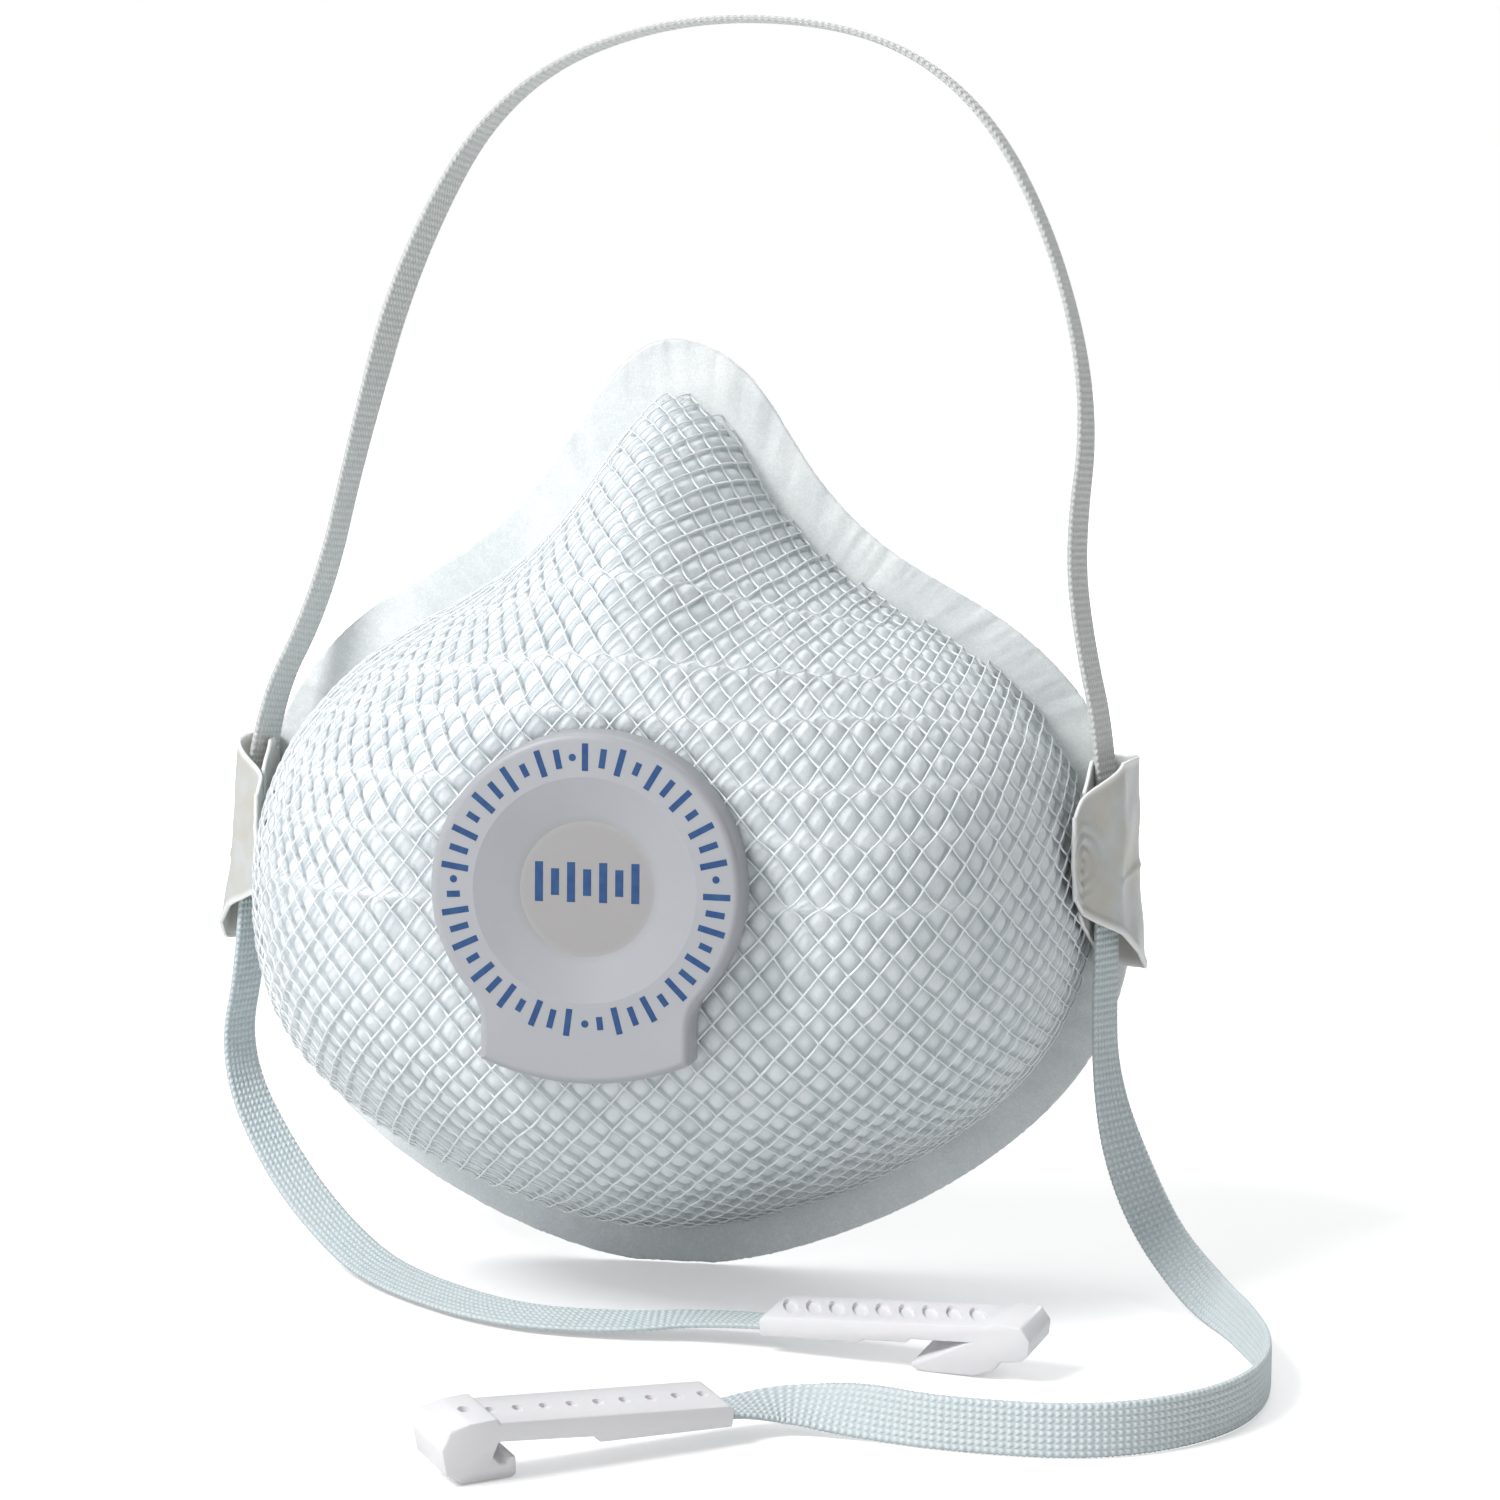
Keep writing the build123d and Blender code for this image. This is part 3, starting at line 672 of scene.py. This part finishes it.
class DUSTMASK_OT_net(bpy.types.Operator):
    """Stretch the extruded diamond net over the cup"""

    bl_idname = "dust_mask.net"
    bl_label = "Net"

    def execute(self, context):
        face = CupFace("outer_net", True)
        bm = bmesh.new()
        bmesh.ops.create_grid(bm, x_segments=NET_SPAN, y_segments=NET_SPAN, size=NET_SPAN / 2)
        far = [f for f in bm.faces if self.inside(face, *f.calc_center_median().xy) < 1.2 * MM]
        bmesh.ops.delete(bm, geom=far, context="FACES")
        strand = sizes().strand_width / (sizes().cell_width * 1.3)
        bmesh.ops.wireframe(bm, faces=bm.faces, thickness=strand, offset=0.0, use_replace=True,
                            use_boundary=True, use_even_offset=True)
        long_edges = [e for e in bm.edges if e.calc_length() > 0.5]
        bmesh.ops.subdivide_edges(bm, edges=long_edges, cuts=2)
        for vert in bm.verts:
            rise, fall, thick = vert.co
            off_rise, off_fall = rise - round(rise), fall - round(fall)
            free_rise, free_fall = abs(off_rise) > 0.2, abs(off_fall) > 0.2
            # Strands that rise to the right lie on top of the others
            lift = 0.0
            if free_rise and not free_fall:
                fall = round(fall) + off_fall * 1.1
                lift = 0.12 * MM * sin(pi * abs(off_rise))
            elif free_fall and not free_rise:
                rise = round(rise) + off_rise * 0.72
                lift = -0.22 * MM * sin(pi * abs(off_fall))
            across, up, ridge = net_place(rise, fall)
            height = (0.2 + 0.18 * ridge) * MM + lift + thick * sizes().cell_width * 0.75
            height += 0.14 * MM * wander(across, up, 5 * MM, 7.0)
            vert.co = face.lay(across, up, height)[0]
        bmesh.ops.recalc_face_normals(bm, faces=bm.faces)
        make_piece("outer_net_strands", bm, net_material(), "mask", ["outer_net"])
        return {"FINISHED"}

    def inside(self, face, rise, fall):
        """How far a place of the net is inside the trimmed area, between the valve and the rim."""
        across, up, _ = net_place(rise, fall)
        return min(face.lay(across, up, 0.0)[1], hypot(across, up) - 15 * MM)


class DUSTMASK_OT_layers(bpy.types.Operator):
    """Lay the cover web, the filter felt and the liner of the cup"""

    bl_idname = "dust_mask.layers"
    bl_label = "Cup layers"

    def execute(self, context):
        height = sizes().pillow_height

        def pillow(rise, fall):
            """Bulge of the web in its net cell, from 0 under a strand to 1."""
            own = 0.75 + 0.45 * noise.noise(Vector((floor(rise) * 1.7, floor(fall) * 1.7, 5.0)))
            return own * (abs(sin(pi * rise)) * abs(sin(pi * fall))) ** 0.75

        # The web's second value sets its painted light and shade: low between pillows, where it is drawn
        # grey, high on pillows and pleat ridges
        self.layer("cover_web_pillows", "cover_web", True, 5, 0.35, web_material(), "nonwoven",
                   lambda r, f, a, u, ridge: (
                       -0.35 * MM + height * pillow(r, f) + 0.75 * ridge * height
                       + 0.16 * MM * wander(a, u, 1.6 * MM, 9.0) + 0.3 * MM * wander(a, u, 7 * MM, 11.0),
                       pillow(r, f) + 0.7 * ridge))
        self.layer("filter_felt", "filter_layer", True, 2, 1.0, felt_material(), "filter",
                   lambda r, f, a, u, ridge: (0.05 * MM * wander(a, u, 3 * MM, 5.0), 0.5))
        self.layer("inner_liner", "inner_shell", False, 4, 0.4, liner_material(), "inner",
                   lambda r, f, a, u, ridge: (
                       0.38 * MM * abs(sin(pi * r) * sin(pi * f)) + 0.14 * MM * wander(a, u, 4 * MM, 6.0)
                       + 0.25 * MM * wander(a, u, 14 * MM, 8.0), 0.5))
        return {"FINISHED"}

    def layer(self, name, node, outside, fine, thickness, material, slot, relief):
        """A grid in the net's own lattice, laid on one face of a CAD layer and given its thickness."""
        face = CupFace(node, outside)
        bm = bmesh.new()
        cells = NET_SPAN * fine
        bmesh.ops.create_grid(bm, x_segments=cells, y_segments=cells, size=NET_SPAN / 2)
        # Each point's share of lit colour against painted shade, kept as its pillow attribute for the
        # web's finish
        painted_shade = bm.verts.layers.float.new("pillow")
        hem = 13.6 * MM
        outer = set()
        for vert in bm.verts:
            rise, fall = vert.co.xy
            across, up, ridge = net_place(rise, fall)
            height, vert[painted_shade] = relief(rise, fall, across, up, ridge)
            reach = hypot(across, up)
            if reach < hem:
                across, up = across * hem / max(reach, 1e-9), up * hem / max(reach, 1e-9)
            vert.co, inside = face.lay(across, up, height * clamp((reach - hem) / MM))
            if inside < 0 or reach < hem:
                outer.add(vert)
        lost = [f for f in bm.faces if all(v in outer for v in f.verts)]
        bmesh.ops.delete(bm, geom=lost, context="FACES")
        bmesh.ops.dissolve_degenerate(bm, dist=1e-6, edges=bm.edges)
        bmesh.ops.recalc_face_normals(bm, faces=bm.faces)
        bm.faces.ensure_lookup_table()
        sample = bm.faces[len(bm.faces) // 2]
        outward = sample.normal.dot(sample.calc_center_median() - CUP_MIDDLE) > 0
        if outward != outside:
            bmesh.ops.reverse_faces(bm, faces=bm.faces)
        thicken(make_piece(name, bm, material, "mask", [node]), thickness * MM, -1.0)


class DUSTMASK_OT_rim(bpy.types.Operator):
    """Press the heat-sealed rim, with its radial creases and trimmed edge"""

    bl_idname = "dust_mask.rim"
    bl_label = "Rim"

    def execute(self, context):
        cup = CupFace("outer_net", True)
        liner = CupFace("inner_shell", False)
        tree = node_tree("rim_flange")
        axis = Vector((0.0, 0.0, VALVE_Z))
        count = 900

        def flange_end(spoke, radius, way):
            """Radius where the flange ends, going in or out from a radius on it."""
            step = 0.4 * MM
            while step > 0.02 * MM:
                if tree.ray_cast(axis + spoke * (radius + way * step), REARWARD)[0] is None:
                    step /= 2
                else:
                    radius += way * step
            return radius

        spokes = []
        for i in range(count):
            angle = 2 * pi * (i + 0.5) / count
            spoke = spoke_at(angle)
            start = cup.edge(angle)[1] + 1.2 * MM
            _, weld_radius, weld_depth = liner.edge(angle)
            weld = axis + spoke * weld_radius + Vector((0.0, weld_depth, 0.0))
            inner = flange_end(spoke, start, -1) + 0.1 * MM
            outer = flange_end(spoke, start, 1) - 0.05 * MM
            spokes.append((spoke, weld, inner, outer))

        def place(along, around):
            i = round(along * count) % count
            spoke, weld, inner, outer = spokes[i]
            y = 1 - 2 * abs(around % 1.0 - 0.5)
            # From the weld at the liner's edge to the flange, then over the flange to its trimmed edge
            joined = min(1.0, 5.0 * y)
            share = 1 - (1 - max(0.0, 1.25 * y - 0.25)) ** 1.5
            ragged = 0.12 * MM * noise.noise(Vector((i * 0.9, 3.0, 0.0)))
            radius = inner + (outer - 0.12 * MM + ragged - inner) * share
            foot = axis + spoke * radius
            hit = tree.ray_cast(Vector((foot.x, 0.0, foot.z)) - spoke * (0.15 * MM * share), REARWARD)[0]
            foot.y = hit.y if hit else foot.y
            turn = 2 * pi * i / count
            crease = noise.noise(Vector((cos(turn) * 26, sin(turn) * 26, 0.0)))
            fine = noise.noise(Vector((cos(turn) * 90, sin(turn) * 90, radius * 300)))
            foot.y += (0.34 * MM * crease + 0.12 * MM * fine) * share
            if around % 1.0 >= 0.5:
                foot.y += 1.15 * MM * sqrt(max(0.0, 1 - 0.75 * share ** 6))
            foot = weld.lerp(foot, joined)
            foot.z = max(foot.z, 0.02 * MM)
            return foot

        bm = rolled_grid(count, 36, place, 2 * pi * 60 * MM, 16 * MM)
        make_piece("rim_seal", bm, rim_material(), "mask", ["rim_flange"])
        return {"FINISHED"}


class DUSTMASK_OT_tabs(bpy.types.Operator):
    """Fold the two strap tabs out of film and weld them in front"""

    bl_idname = "dust_mask.tabs"
    bl_label = "Strap tabs"

    def execute(self, context):
        film = tab_material()
        for side, name in ((1, "right"), (-1, "left")):
            self.tab(side, name, film)
        return {"FINISHED"}

    def tab(self, side, name, film):
        """A film that runs from its weld over the strap, folds round the back and returns."""
        low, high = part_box(f"strap_tab_{name}")
        cheek = node_tree("outer_net")
        lean = radians(7)
        rearward = Vector((side * sin(lean), cos(lean), 0.0))
        outward = Vector((side * cos(lean), -sin(lean), 0.0))
        centre = Vector((side * 64.4 * MM, 28.5 * MM, 0.0))
        front, rear, half = -14.8 * MM, 6.4 * MM, 2.35 * MM
        hem_flare = (1.3 if side > 0 else 3.6) * MM
        # Shares of the film over the outside, round the fold and in along the inside
        over, fold, under = 0.45, 0.17, 0.38
        bm = bmesh.new()
        bmesh.ops.create_grid(bm, x_segments=96, y_segments=80, size=0.5)
        painted_edge_highlight = bm.verts.layers.float.new("edge")
        for vert in bm.verts:
            share, rise = vert.co.x + 0.5, vert.co.y + 0.5
            # Along the fold: over the outside, round the back, and in along the inside
            if share < over:
                along = front + (rear - front) * share / over
                out = half * (-1.0 + 2.0 * ease(clamp((along + 11 * MM) / (8 * MM))))
            elif share < over + fold:
                turn = pi * (share - over) / fold
                along = rear + half * sin(turn)
                out = half * cos(turn)
            else:
                along = rear - (rear + 9 * MM) * (share - over - fold) / under
                out = -half
            bottom = low.z + 12.5 * MM * clamp((7 * MM - along) / (21 * MM))
            top = high.z - 7 * MM * clamp((-3 * MM - along) / (11 * MM))
            z = bottom + (top - bottom) * rise
            # The hem stands away from the cheek, less and less round the fold
            flare = (1 - rise) ** 1.6 * clamp((along + 6 * MM) / (8 * MM))
            out += hem_flare * flare * clamp(1 - (share - over) / fold)
            # Concentric weld rings, the hem's ridge, a faint cross band and the film's own creases
            weld = hypot(along + 10.6 * MM, (z - 63.5 * MM) / 1.25) if share < over else 1.0
            rings = exp(-((weld / (4.4 * MM)) ** 4))
            ripple = 0.24 * MM * cos(2 * pi * weld / (1.45 * MM))
            out += rings * (0.1 * MM + ripple)
            hem = (z - bottom) / (1.3 * MM)
            out += 0.3 * MM * exp(-((hem - 0.55) ** 2) * 4) * (1 if share < 0.5 else -1)
            if along > -4 * MM:
                out += 0.2 * MM * exp(-(((z - 60.5 * MM - along * 0.15) / (0.5 * MM)) ** 2))
            out += 0.3 * MM * wander(along + side, z, 6 * MM, 2.0)
            out += 0.5 * MM * wander(along, z, 13 * MM, 4.0 + side)
            # Share of painted highlight near the film's long edges and its front end
            vert[painted_edge_highlight] = max(0.0, 1 - min(rise, 1 - rise) / 0.045, 1 - share / 0.03)
            place = centre + rearward * along + outward * out + Vector((0, 0, z))
            # Kept off the cheek
            wall = cheek.ray_cast(
                Vector((side * 90 * MM, place.y, place.z)), Vector((-side, 0, 0)), 50 * MM)[0]
            room = (1.0 if share < 0.5 else 0.45) * MM + rings * ripple
            if wall and abs(place.x) < abs(wall.x) + room:
                place.x = side * (abs(wall.x) + room)
            vert.co = place
        bmesh.ops.recalc_face_normals(bm, faces=bm.faces)
        piece = make_piece(f"strap_tab_film_{name}", bm, film, "mask", [f"strap_tab_{name}"])
        thicken(piece, sizes().film_thickness, 0.0)


# ---------------------------------------------------------------- valve and clips

class DUSTMASK_OT_valve(bpy.types.Operator):
    """Finish the valve's cover, seat, flap and ring"""

    bl_idname = "dust_mask.valve"
    bl_label = "Valve"

    def execute(self, context):
        # Matt grained grey polypropylene, with painted shade that makes the floor of its dish a little
        # warmer and darker
        finish_node("valve_cover", moulded_material(
            "matt_moulded_grey_polypropylene", colours().cover, "#A3A5AA", 0.42, 2400.0, 0.05 * MM, 1.49,
            dish_floor_painted_shade="#A19F9F"))
        # Glossier natural white polypropylene
        white = moulded_material(
            "moulded_white_polypropylene", colours().seat, "#D9DCDC", 0.38, 1500.0, 0.03 * MM, 1.49, 0.1)
        finish_node("valve_seat", white)
        finish_node("valve_backing_ring", white)
        # Soft translucent silicone with a tacky sheen
        finish_node("valve_flap", moulded_material(
            "cast_silicone_flap", colours().flap, "#DCCDA2", 0.33, 900.0, 0.02 * MM, 1.41, 0.3))
        return {"FINISHED"}


class DUSTMASK_OT_print(bpy.types.Operator):
    """Print plain ticks and dots on the valve cover"""

    bl_idname = "dust_mask.print"
    bl_label = "Cover print"

    INK_DEPTH = 0.06 * MM

    def execute(self, context):
        bm = bmesh.new()
        face = Vector((0.0, COVER_LOW.y, VALVE_Z))
        middle = COVER_HIGH.x - 3.25 * MM
        # Ring: four arcs of ticks, divided by dots
        for start, end in ((-81, -12), (0, 77), (91, 173), (187, 267)):
            steps = round((end - start) / 7.6)
            for i in range(steps + 1):
                angle = radians(start + (end - start) * i / steps)
                tall = (3.7, 2.6, 3.7, 1.8)[i % 4] * MM
                self.bar(bm, face, angle, middle, 0.85 * MM, tall)
            self.dot(bm, face, radians(end + 6.5), middle, 0.5 * MM)
        # Centre: upright bars over the dish floor
        floor_face = face + Vector((0.0, 1.8 * MM, 0.0))
        for i, tall in enumerate((5.4, 3.6, 5.4, 3.6, 5.4, 3.6, 5.4)):
            place = floor_face + Vector(((i - 3) * 2.2 * MM, 0.0, 0.9 * MM))
            self.bar(bm, place, 0.0, 0.0, 1.1 * MM, tall * MM)
        bmesh.ops.recalc_face_normals(bm, faces=bm.faces)
        marks = make_piece("valve_cover_print", bm, ink_material(), "mask", [])
        marks.data.shade_flat()
        return {"FINISHED"}

    def bar(self, bm, centre, angle, radius, width, tall):
        """A flat printed tick, upright at its place on the ring."""
        made = bmesh.ops.create_cube(bm, size=1.0)["verts"]
        bmesh.ops.scale(bm, vec=(width, self.INK_DEPTH, tall), verts=made)
        self.put(bm, made, centre, angle, radius)

    def dot(self, bm, centre, angle, radius, size):
        """A flat printed dot."""
        made = bmesh.ops.create_cone(
            bm, cap_ends=True, segments=20, radius1=size, radius2=size, depth=self.INK_DEPTH)["verts"]
        bmesh.ops.rotate(bm, cent=(0, 0, 0), matrix=Matrix.Rotation(pi / 2, 3, "X"), verts=made)
        self.put(bm, made, centre, angle, radius)

    def put(self, bm, made, centre, angle, radius):
        """Move a mark out to its place on the ring round a centre."""
        bmesh.ops.translate(bm, vec=(0.0, 0.0, radius), verts=made)
        bmesh.ops.rotate(bm, cent=(0, 0, 0), matrix=Matrix.Rotation(angle, 3, "Y"), verts=made)
        bmesh.ops.translate(bm, vec=centre, verts=made)


class DUSTMASK_OT_clips(bpy.types.Operator):
    """Mould the two strap clips, with their rounded edges and the recesses on their bars"""

    bl_idname = "dust_mask.clips"
    bl_label = "Strap clips"

    def execute(self, context):
        # Satin acetal, faintly lilac
        satin = moulded_material(
            "satin_moulded_acetal", colours().clip, "#E3E2E4", 0.36, 1800.0, 0.03 * MM, 1.48, 0.1)
        self.clip(
            "hook_clip", satin, (23.3, -20.5), -16.0, 12.0,
            [(0, 2.4), (15.0, 3.1), (15.6, 3.6), (22.0, 3.9), (22.6, 4.5), (31.0, 5.0), (26.6, 2.9),
             (22.4, 1.1), (22.6, 0.3), (24.4, 0.0), (31.6, 0.2), (34.6, 1.3), (35.6, 2.6),
             (38.6, 3.0), (39.8, 4.0), (40.2, 6.2), (39.0, 8.1), (35.6, 8.3), (34.0, 7.7),
             (0.8, 5.4), (0, 4.8)],
            [(3.2 + 3.5 * i, 5.4 + 0.068 * (3.2 + 3.5 * i)) for i in range(9)], (2.1, 5.6), 34.0)
        self.clip(
            "catch_clip", satin, (24.2, -71.2), 222.0, -12.0,
            [(0, 2.4), (19.4, 3.0), (20.2, 3.9), (34.0, 5.1), (34.6, 3.2),
             (33.6, 2.2), (32.6, 2.2), (32.4, 3.0), (31.4, 3.0), (31.0, 0.6),
             (31.6, 0.1), (38.6, 0.0), (41.0, 1.6), (42.0, 5.0), (41.2, 7.4),
             (38.4, 8.2), (34.6, 8.4), (34.2, 7.7), (0.8, 5.5), (0, 4.9)],
            [(2.6 + 3.85 * i, 5.5 + 0.068 * (2.6 + 3.85 * i)) for i in range(10)], (1.5, 1.7), 0.0)
        return {"FINISHED"}

    def clip(self, node, material, end, heading, roll, outline, marks, mark_size, slant):
        """A side outline made 8 mm wide, softened at its edges, with recesses sunk into its top."""
        width = 8.0
        bm = bmesh.new()
        bm.faces.new([bm.verts.new((x, -width / 2, z)) for x, z in outline])
        made = bmesh.ops.extrude_face_region(bm, geom=bm.faces[:])
        far_side = [v for v in made["geom"] if isinstance(v, bmesh.types.BMVert)]
        bmesh.ops.translate(bm, vec=(0, width, 0), verts=far_side)
        bmesh.ops.recalc_face_normals(bm, faces=bm.faces)
        bmesh.ops.bevel(bm, geom=bm.edges[:], offset=0.35, offset_type="OFFSET", segments=2, profile=0.5,
                        affect="EDGES", material=-1, clamp_overlap=True)
        cutters = bmesh.new()
        for x, z in marks:
            slot = bmesh.ops.create_cone(
                cutters, cap_ends=True, segments=20, radius1=0.5, radius2=0.5, depth=1.4)["verts"]
            bmesh.ops.scale(cutters, vec=(*mark_size, 1.0), verts=slot)
            turn = Matrix.Rotation(radians(slant), 3, "Z")
            bmesh.ops.rotate(cutters, cent=(0, 0, 0), matrix=turn, verts=slot)
            bmesh.ops.translate(cutters, vec=(x, 0, z), verts=slot)
        # Rolled clips are raised so that their lower corners rest on the floor
        shift = 0.5 * width * abs(sin(radians(roll))) - 0.05
        place = (
            Matrix.Scale(MM, 4) @ Matrix.Translation((*end, shift))
            @ Matrix.Rotation(radians(heading), 4, "Z") @ Matrix.Rotation(radians(roll), 4, "X"))
        moulding = make_piece(node + "_moulding", bm, material, "mask", [node])
        tool_mesh = bpy.data.meshes.new("recess_tool")
        cutters.to_mesh(tool_mesh)
        cutters.free()
        tool = bpy.data.objects.new("recess_tool", tool_mesh)
        bpy.context.scene.collection.objects.link(tool)
        sink = moulding.modifiers.new("recesses", "BOOLEAN")
        sink.object = tool
        sink.operation = "DIFFERENCE"
        finished = bpy.data.meshes.new_from_object(
            moulding.evaluated_get(bpy.context.evaluated_depsgraph_get()))
        moulding.modifiers.remove(sink)
        bpy.data.objects.remove(tool)
        finished.transform(place)
        finished.set_sharp_from_angle(angle=radians(40))
        moulding.data = finished


# ---------------------------------------------------------------- stage

class DUSTMASK_OT_stage(bpy.types.Operator):
    """Set the camera, the floor and the soft studio light"""

    bl_idname = "dust_mask.stage"
    bl_label = "Stage"

    def execute(self, context):
        scene = context.scene
        scene.view_settings.view_transform = "Standard"
        lens = bpy.data.cameras.new("front_camera")
        lens.lens = 108
        lens.sensor_width = 36
        lens.clip_start = 0.01
        lens.clip_end = 50
        camera = bpy.data.objects.new("front_camera", lens)
        scene.collection.objects.link(camera)
        camera.matrix_world = (
            Matrix.Translation((0.12225, -0.6227, 0.14583))
            @ Matrix.Rotation(radians(9.7), 4, "Z")
            @ Matrix.Rotation(radians(90 - 5.9), 4, "X")
            @ Matrix.Rotation(radians(0.5), 4, "Z"))
        scene.camera = camera
        self.light("key_softbox", (-0.72, -0.78, 1.1), 0.5, 18.0)
        self.light("fill_softbox", (1.1, -0.9, 0.6), 1.0, 0.6)
        self.light("top_softbox", (-0.1, 0.45, 1.2), 0.9, 4.0)
        self.light("back_softbox", (0.45, 1.15, 0.75), 0.8, 6.5)
        self.light("low_softbox", (-0.25, -1.0, 0.12), 0.45, 1.4)
        self.floor(scene)
        self.surroundings(scene)
        return {"FINISHED"}

    def light(self, name, place, size, power):
        """A square soft light aimed at the mask."""
        lamp = bpy.data.lights.new(name, "AREA")
        lamp.shape = "SQUARE"
        lamp.size = size
        lamp.energy = power
        holder = bpy.data.objects.new(name, lamp)
        holder.matrix_world = (
            Matrix.Translation(place)
            @ (Vector((0, 0, 0.06)) - Vector(place)).to_track_quat("-Z", "Y").to_matrix().to_4x4())
        bpy.context.scene.collection.objects.link(holder)

    def floor(self, scene):
        """A plain pale floor, a little self-lit so that it stays as white as its surroundings."""
        bm = bmesh.new()
        bmesh.ops.create_grid(bm, x_segments=4, y_segments=4, size=6.0)
        bmesh.ops.translate(bm, vec=(0, 0, -0.05 * MM), verts=bm.verts)
        mesh = bpy.data.meshes.new("studio_floor")
        bm.to_mesh(mesh)
        bm.free()
        material, tree, place = start_material("matt_white_studio_floor", 0.8, others={
            "Base Color": tuple(colours().floor), "Specular IOR Level": 0.15,
            "Emission Color": (1, 1, 1, 1)})
        # The glow grows with the distance from the mask, where the lamps no longer reach
        reach = add_node(tree, "ShaderNodeVectorMath", {"operation": "LENGTH"}, {0: place["Object"]})
        glow = add_node(tree, "ShaderNodeMapRange", None, {
            "Value": reach.outputs["Value"],
            "From Min": 0.2, "From Max": 0.8, "To Min": 0.36, "To Max": 1.05})
        rays = add_node(tree, "ShaderNodeLightPath")
        shown = add_node(tree, "ShaderNodeMath", {"operation": "MULTIPLY"}, {
            0: glow.outputs["Result"], 1: rays.outputs["Is Camera Ray"]})
        tree.links.new(
            shown.outputs["Value"], tree.nodes["Principled BSDF"].inputs["Emission Strength"])
        mesh.materials.append(material)
        ground = bpy.data.objects.new("studio_floor", mesh)
        scene.collection.objects.link(ground)

    def surroundings(self, scene):
        """White surroundings that light the mask more softly than they look."""
        world = bpy.data.worlds.new("white_studio")
        scene.world = world
        world.use_nodes = True
        tree = world.node_tree
        tree.nodes.clear()
        seen = add_node(tree, "ShaderNodeBackground", None, {"Color": (1, 1, 1, 1), "Strength": 1.0})
        lit = add_node(tree, "ShaderNodeBackground", None, {
            "Color": (0.97, 0.985, 1.0, 1), "Strength": 0.3})
        rays = add_node(tree, "ShaderNodeLightPath")
        mixed = add_node(tree, "ShaderNodeMixShader", None, {
            0: rays.outputs["Is Camera Ray"], 1: lit.outputs[0], 2: seen.outputs[0]})
        add_node(tree, "ShaderNodeOutputWorld", None, {"Surface": mixed.outputs[0]})


# ---------------------------------------------------------------- panel and registration

STEPS = (
    DUSTMASK_OT_stage, DUSTMASK_OT_clips, DUSTMASK_OT_straps, DUSTMASK_OT_net, DUSTMASK_OT_layers,
    DUSTMASK_OT_rim, DUSTMASK_OT_tabs, DUSTMASK_OT_valve, DUSTMASK_OT_print,
)


class DUSTMASK_PT_panel(bpy.types.Panel):
    """Settings and build steps of the dust mask"""

    bl_label = "Dust Mask"
    bl_idname = "DUSTMASK_PT_panel"
    bl_space_type = "VIEW_3D"
    bl_region_type = "UI"
    bl_category = "Dust Mask"

    def draw(self, context):
        for settings in (context.scene.dust_mask_sizes, context.scene.dust_mask_colours):
            box = self.layout.box()
            for name in settings.__annotations__:
                box.prop(settings, name)
        for step in STEPS:
            self.layout.operator(step.bl_idname)


CLASSES = (MaskSizes, MaskColours, *STEPS, DUSTMASK_PT_panel)


def register():
    """Add the settings, steps and panel."""
    for made in CLASSES:
        bpy.utils.register_class(made)
    bpy.types.Scene.dust_mask_sizes = PointerProperty(type=MaskSizes)
    bpy.types.Scene.dust_mask_colours = PointerProperty(type=MaskColours)


def unregister():
    """Remove what register added."""
    del bpy.types.Scene.dust_mask_colours
    del bpy.types.Scene.dust_mask_sizes
    for made in reversed(CLASSES):
        bpy.utils.unregister_class(made)


def main():
    """Build the mask step by step."""
    register()
    bpy.ops.dust_mask.stage()
    bpy.ops.dust_mask.clips()
    bpy.ops.dust_mask.straps()
    bpy.ops.dust_mask.net()
    bpy.ops.dust_mask.layers()
    bpy.ops.dust_mask.rim()
    bpy.ops.dust_mask.tabs()
    bpy.ops.dust_mask.valve()
    bpy.ops.dust_mask.print()


if __name__ == "__main__":
    main()
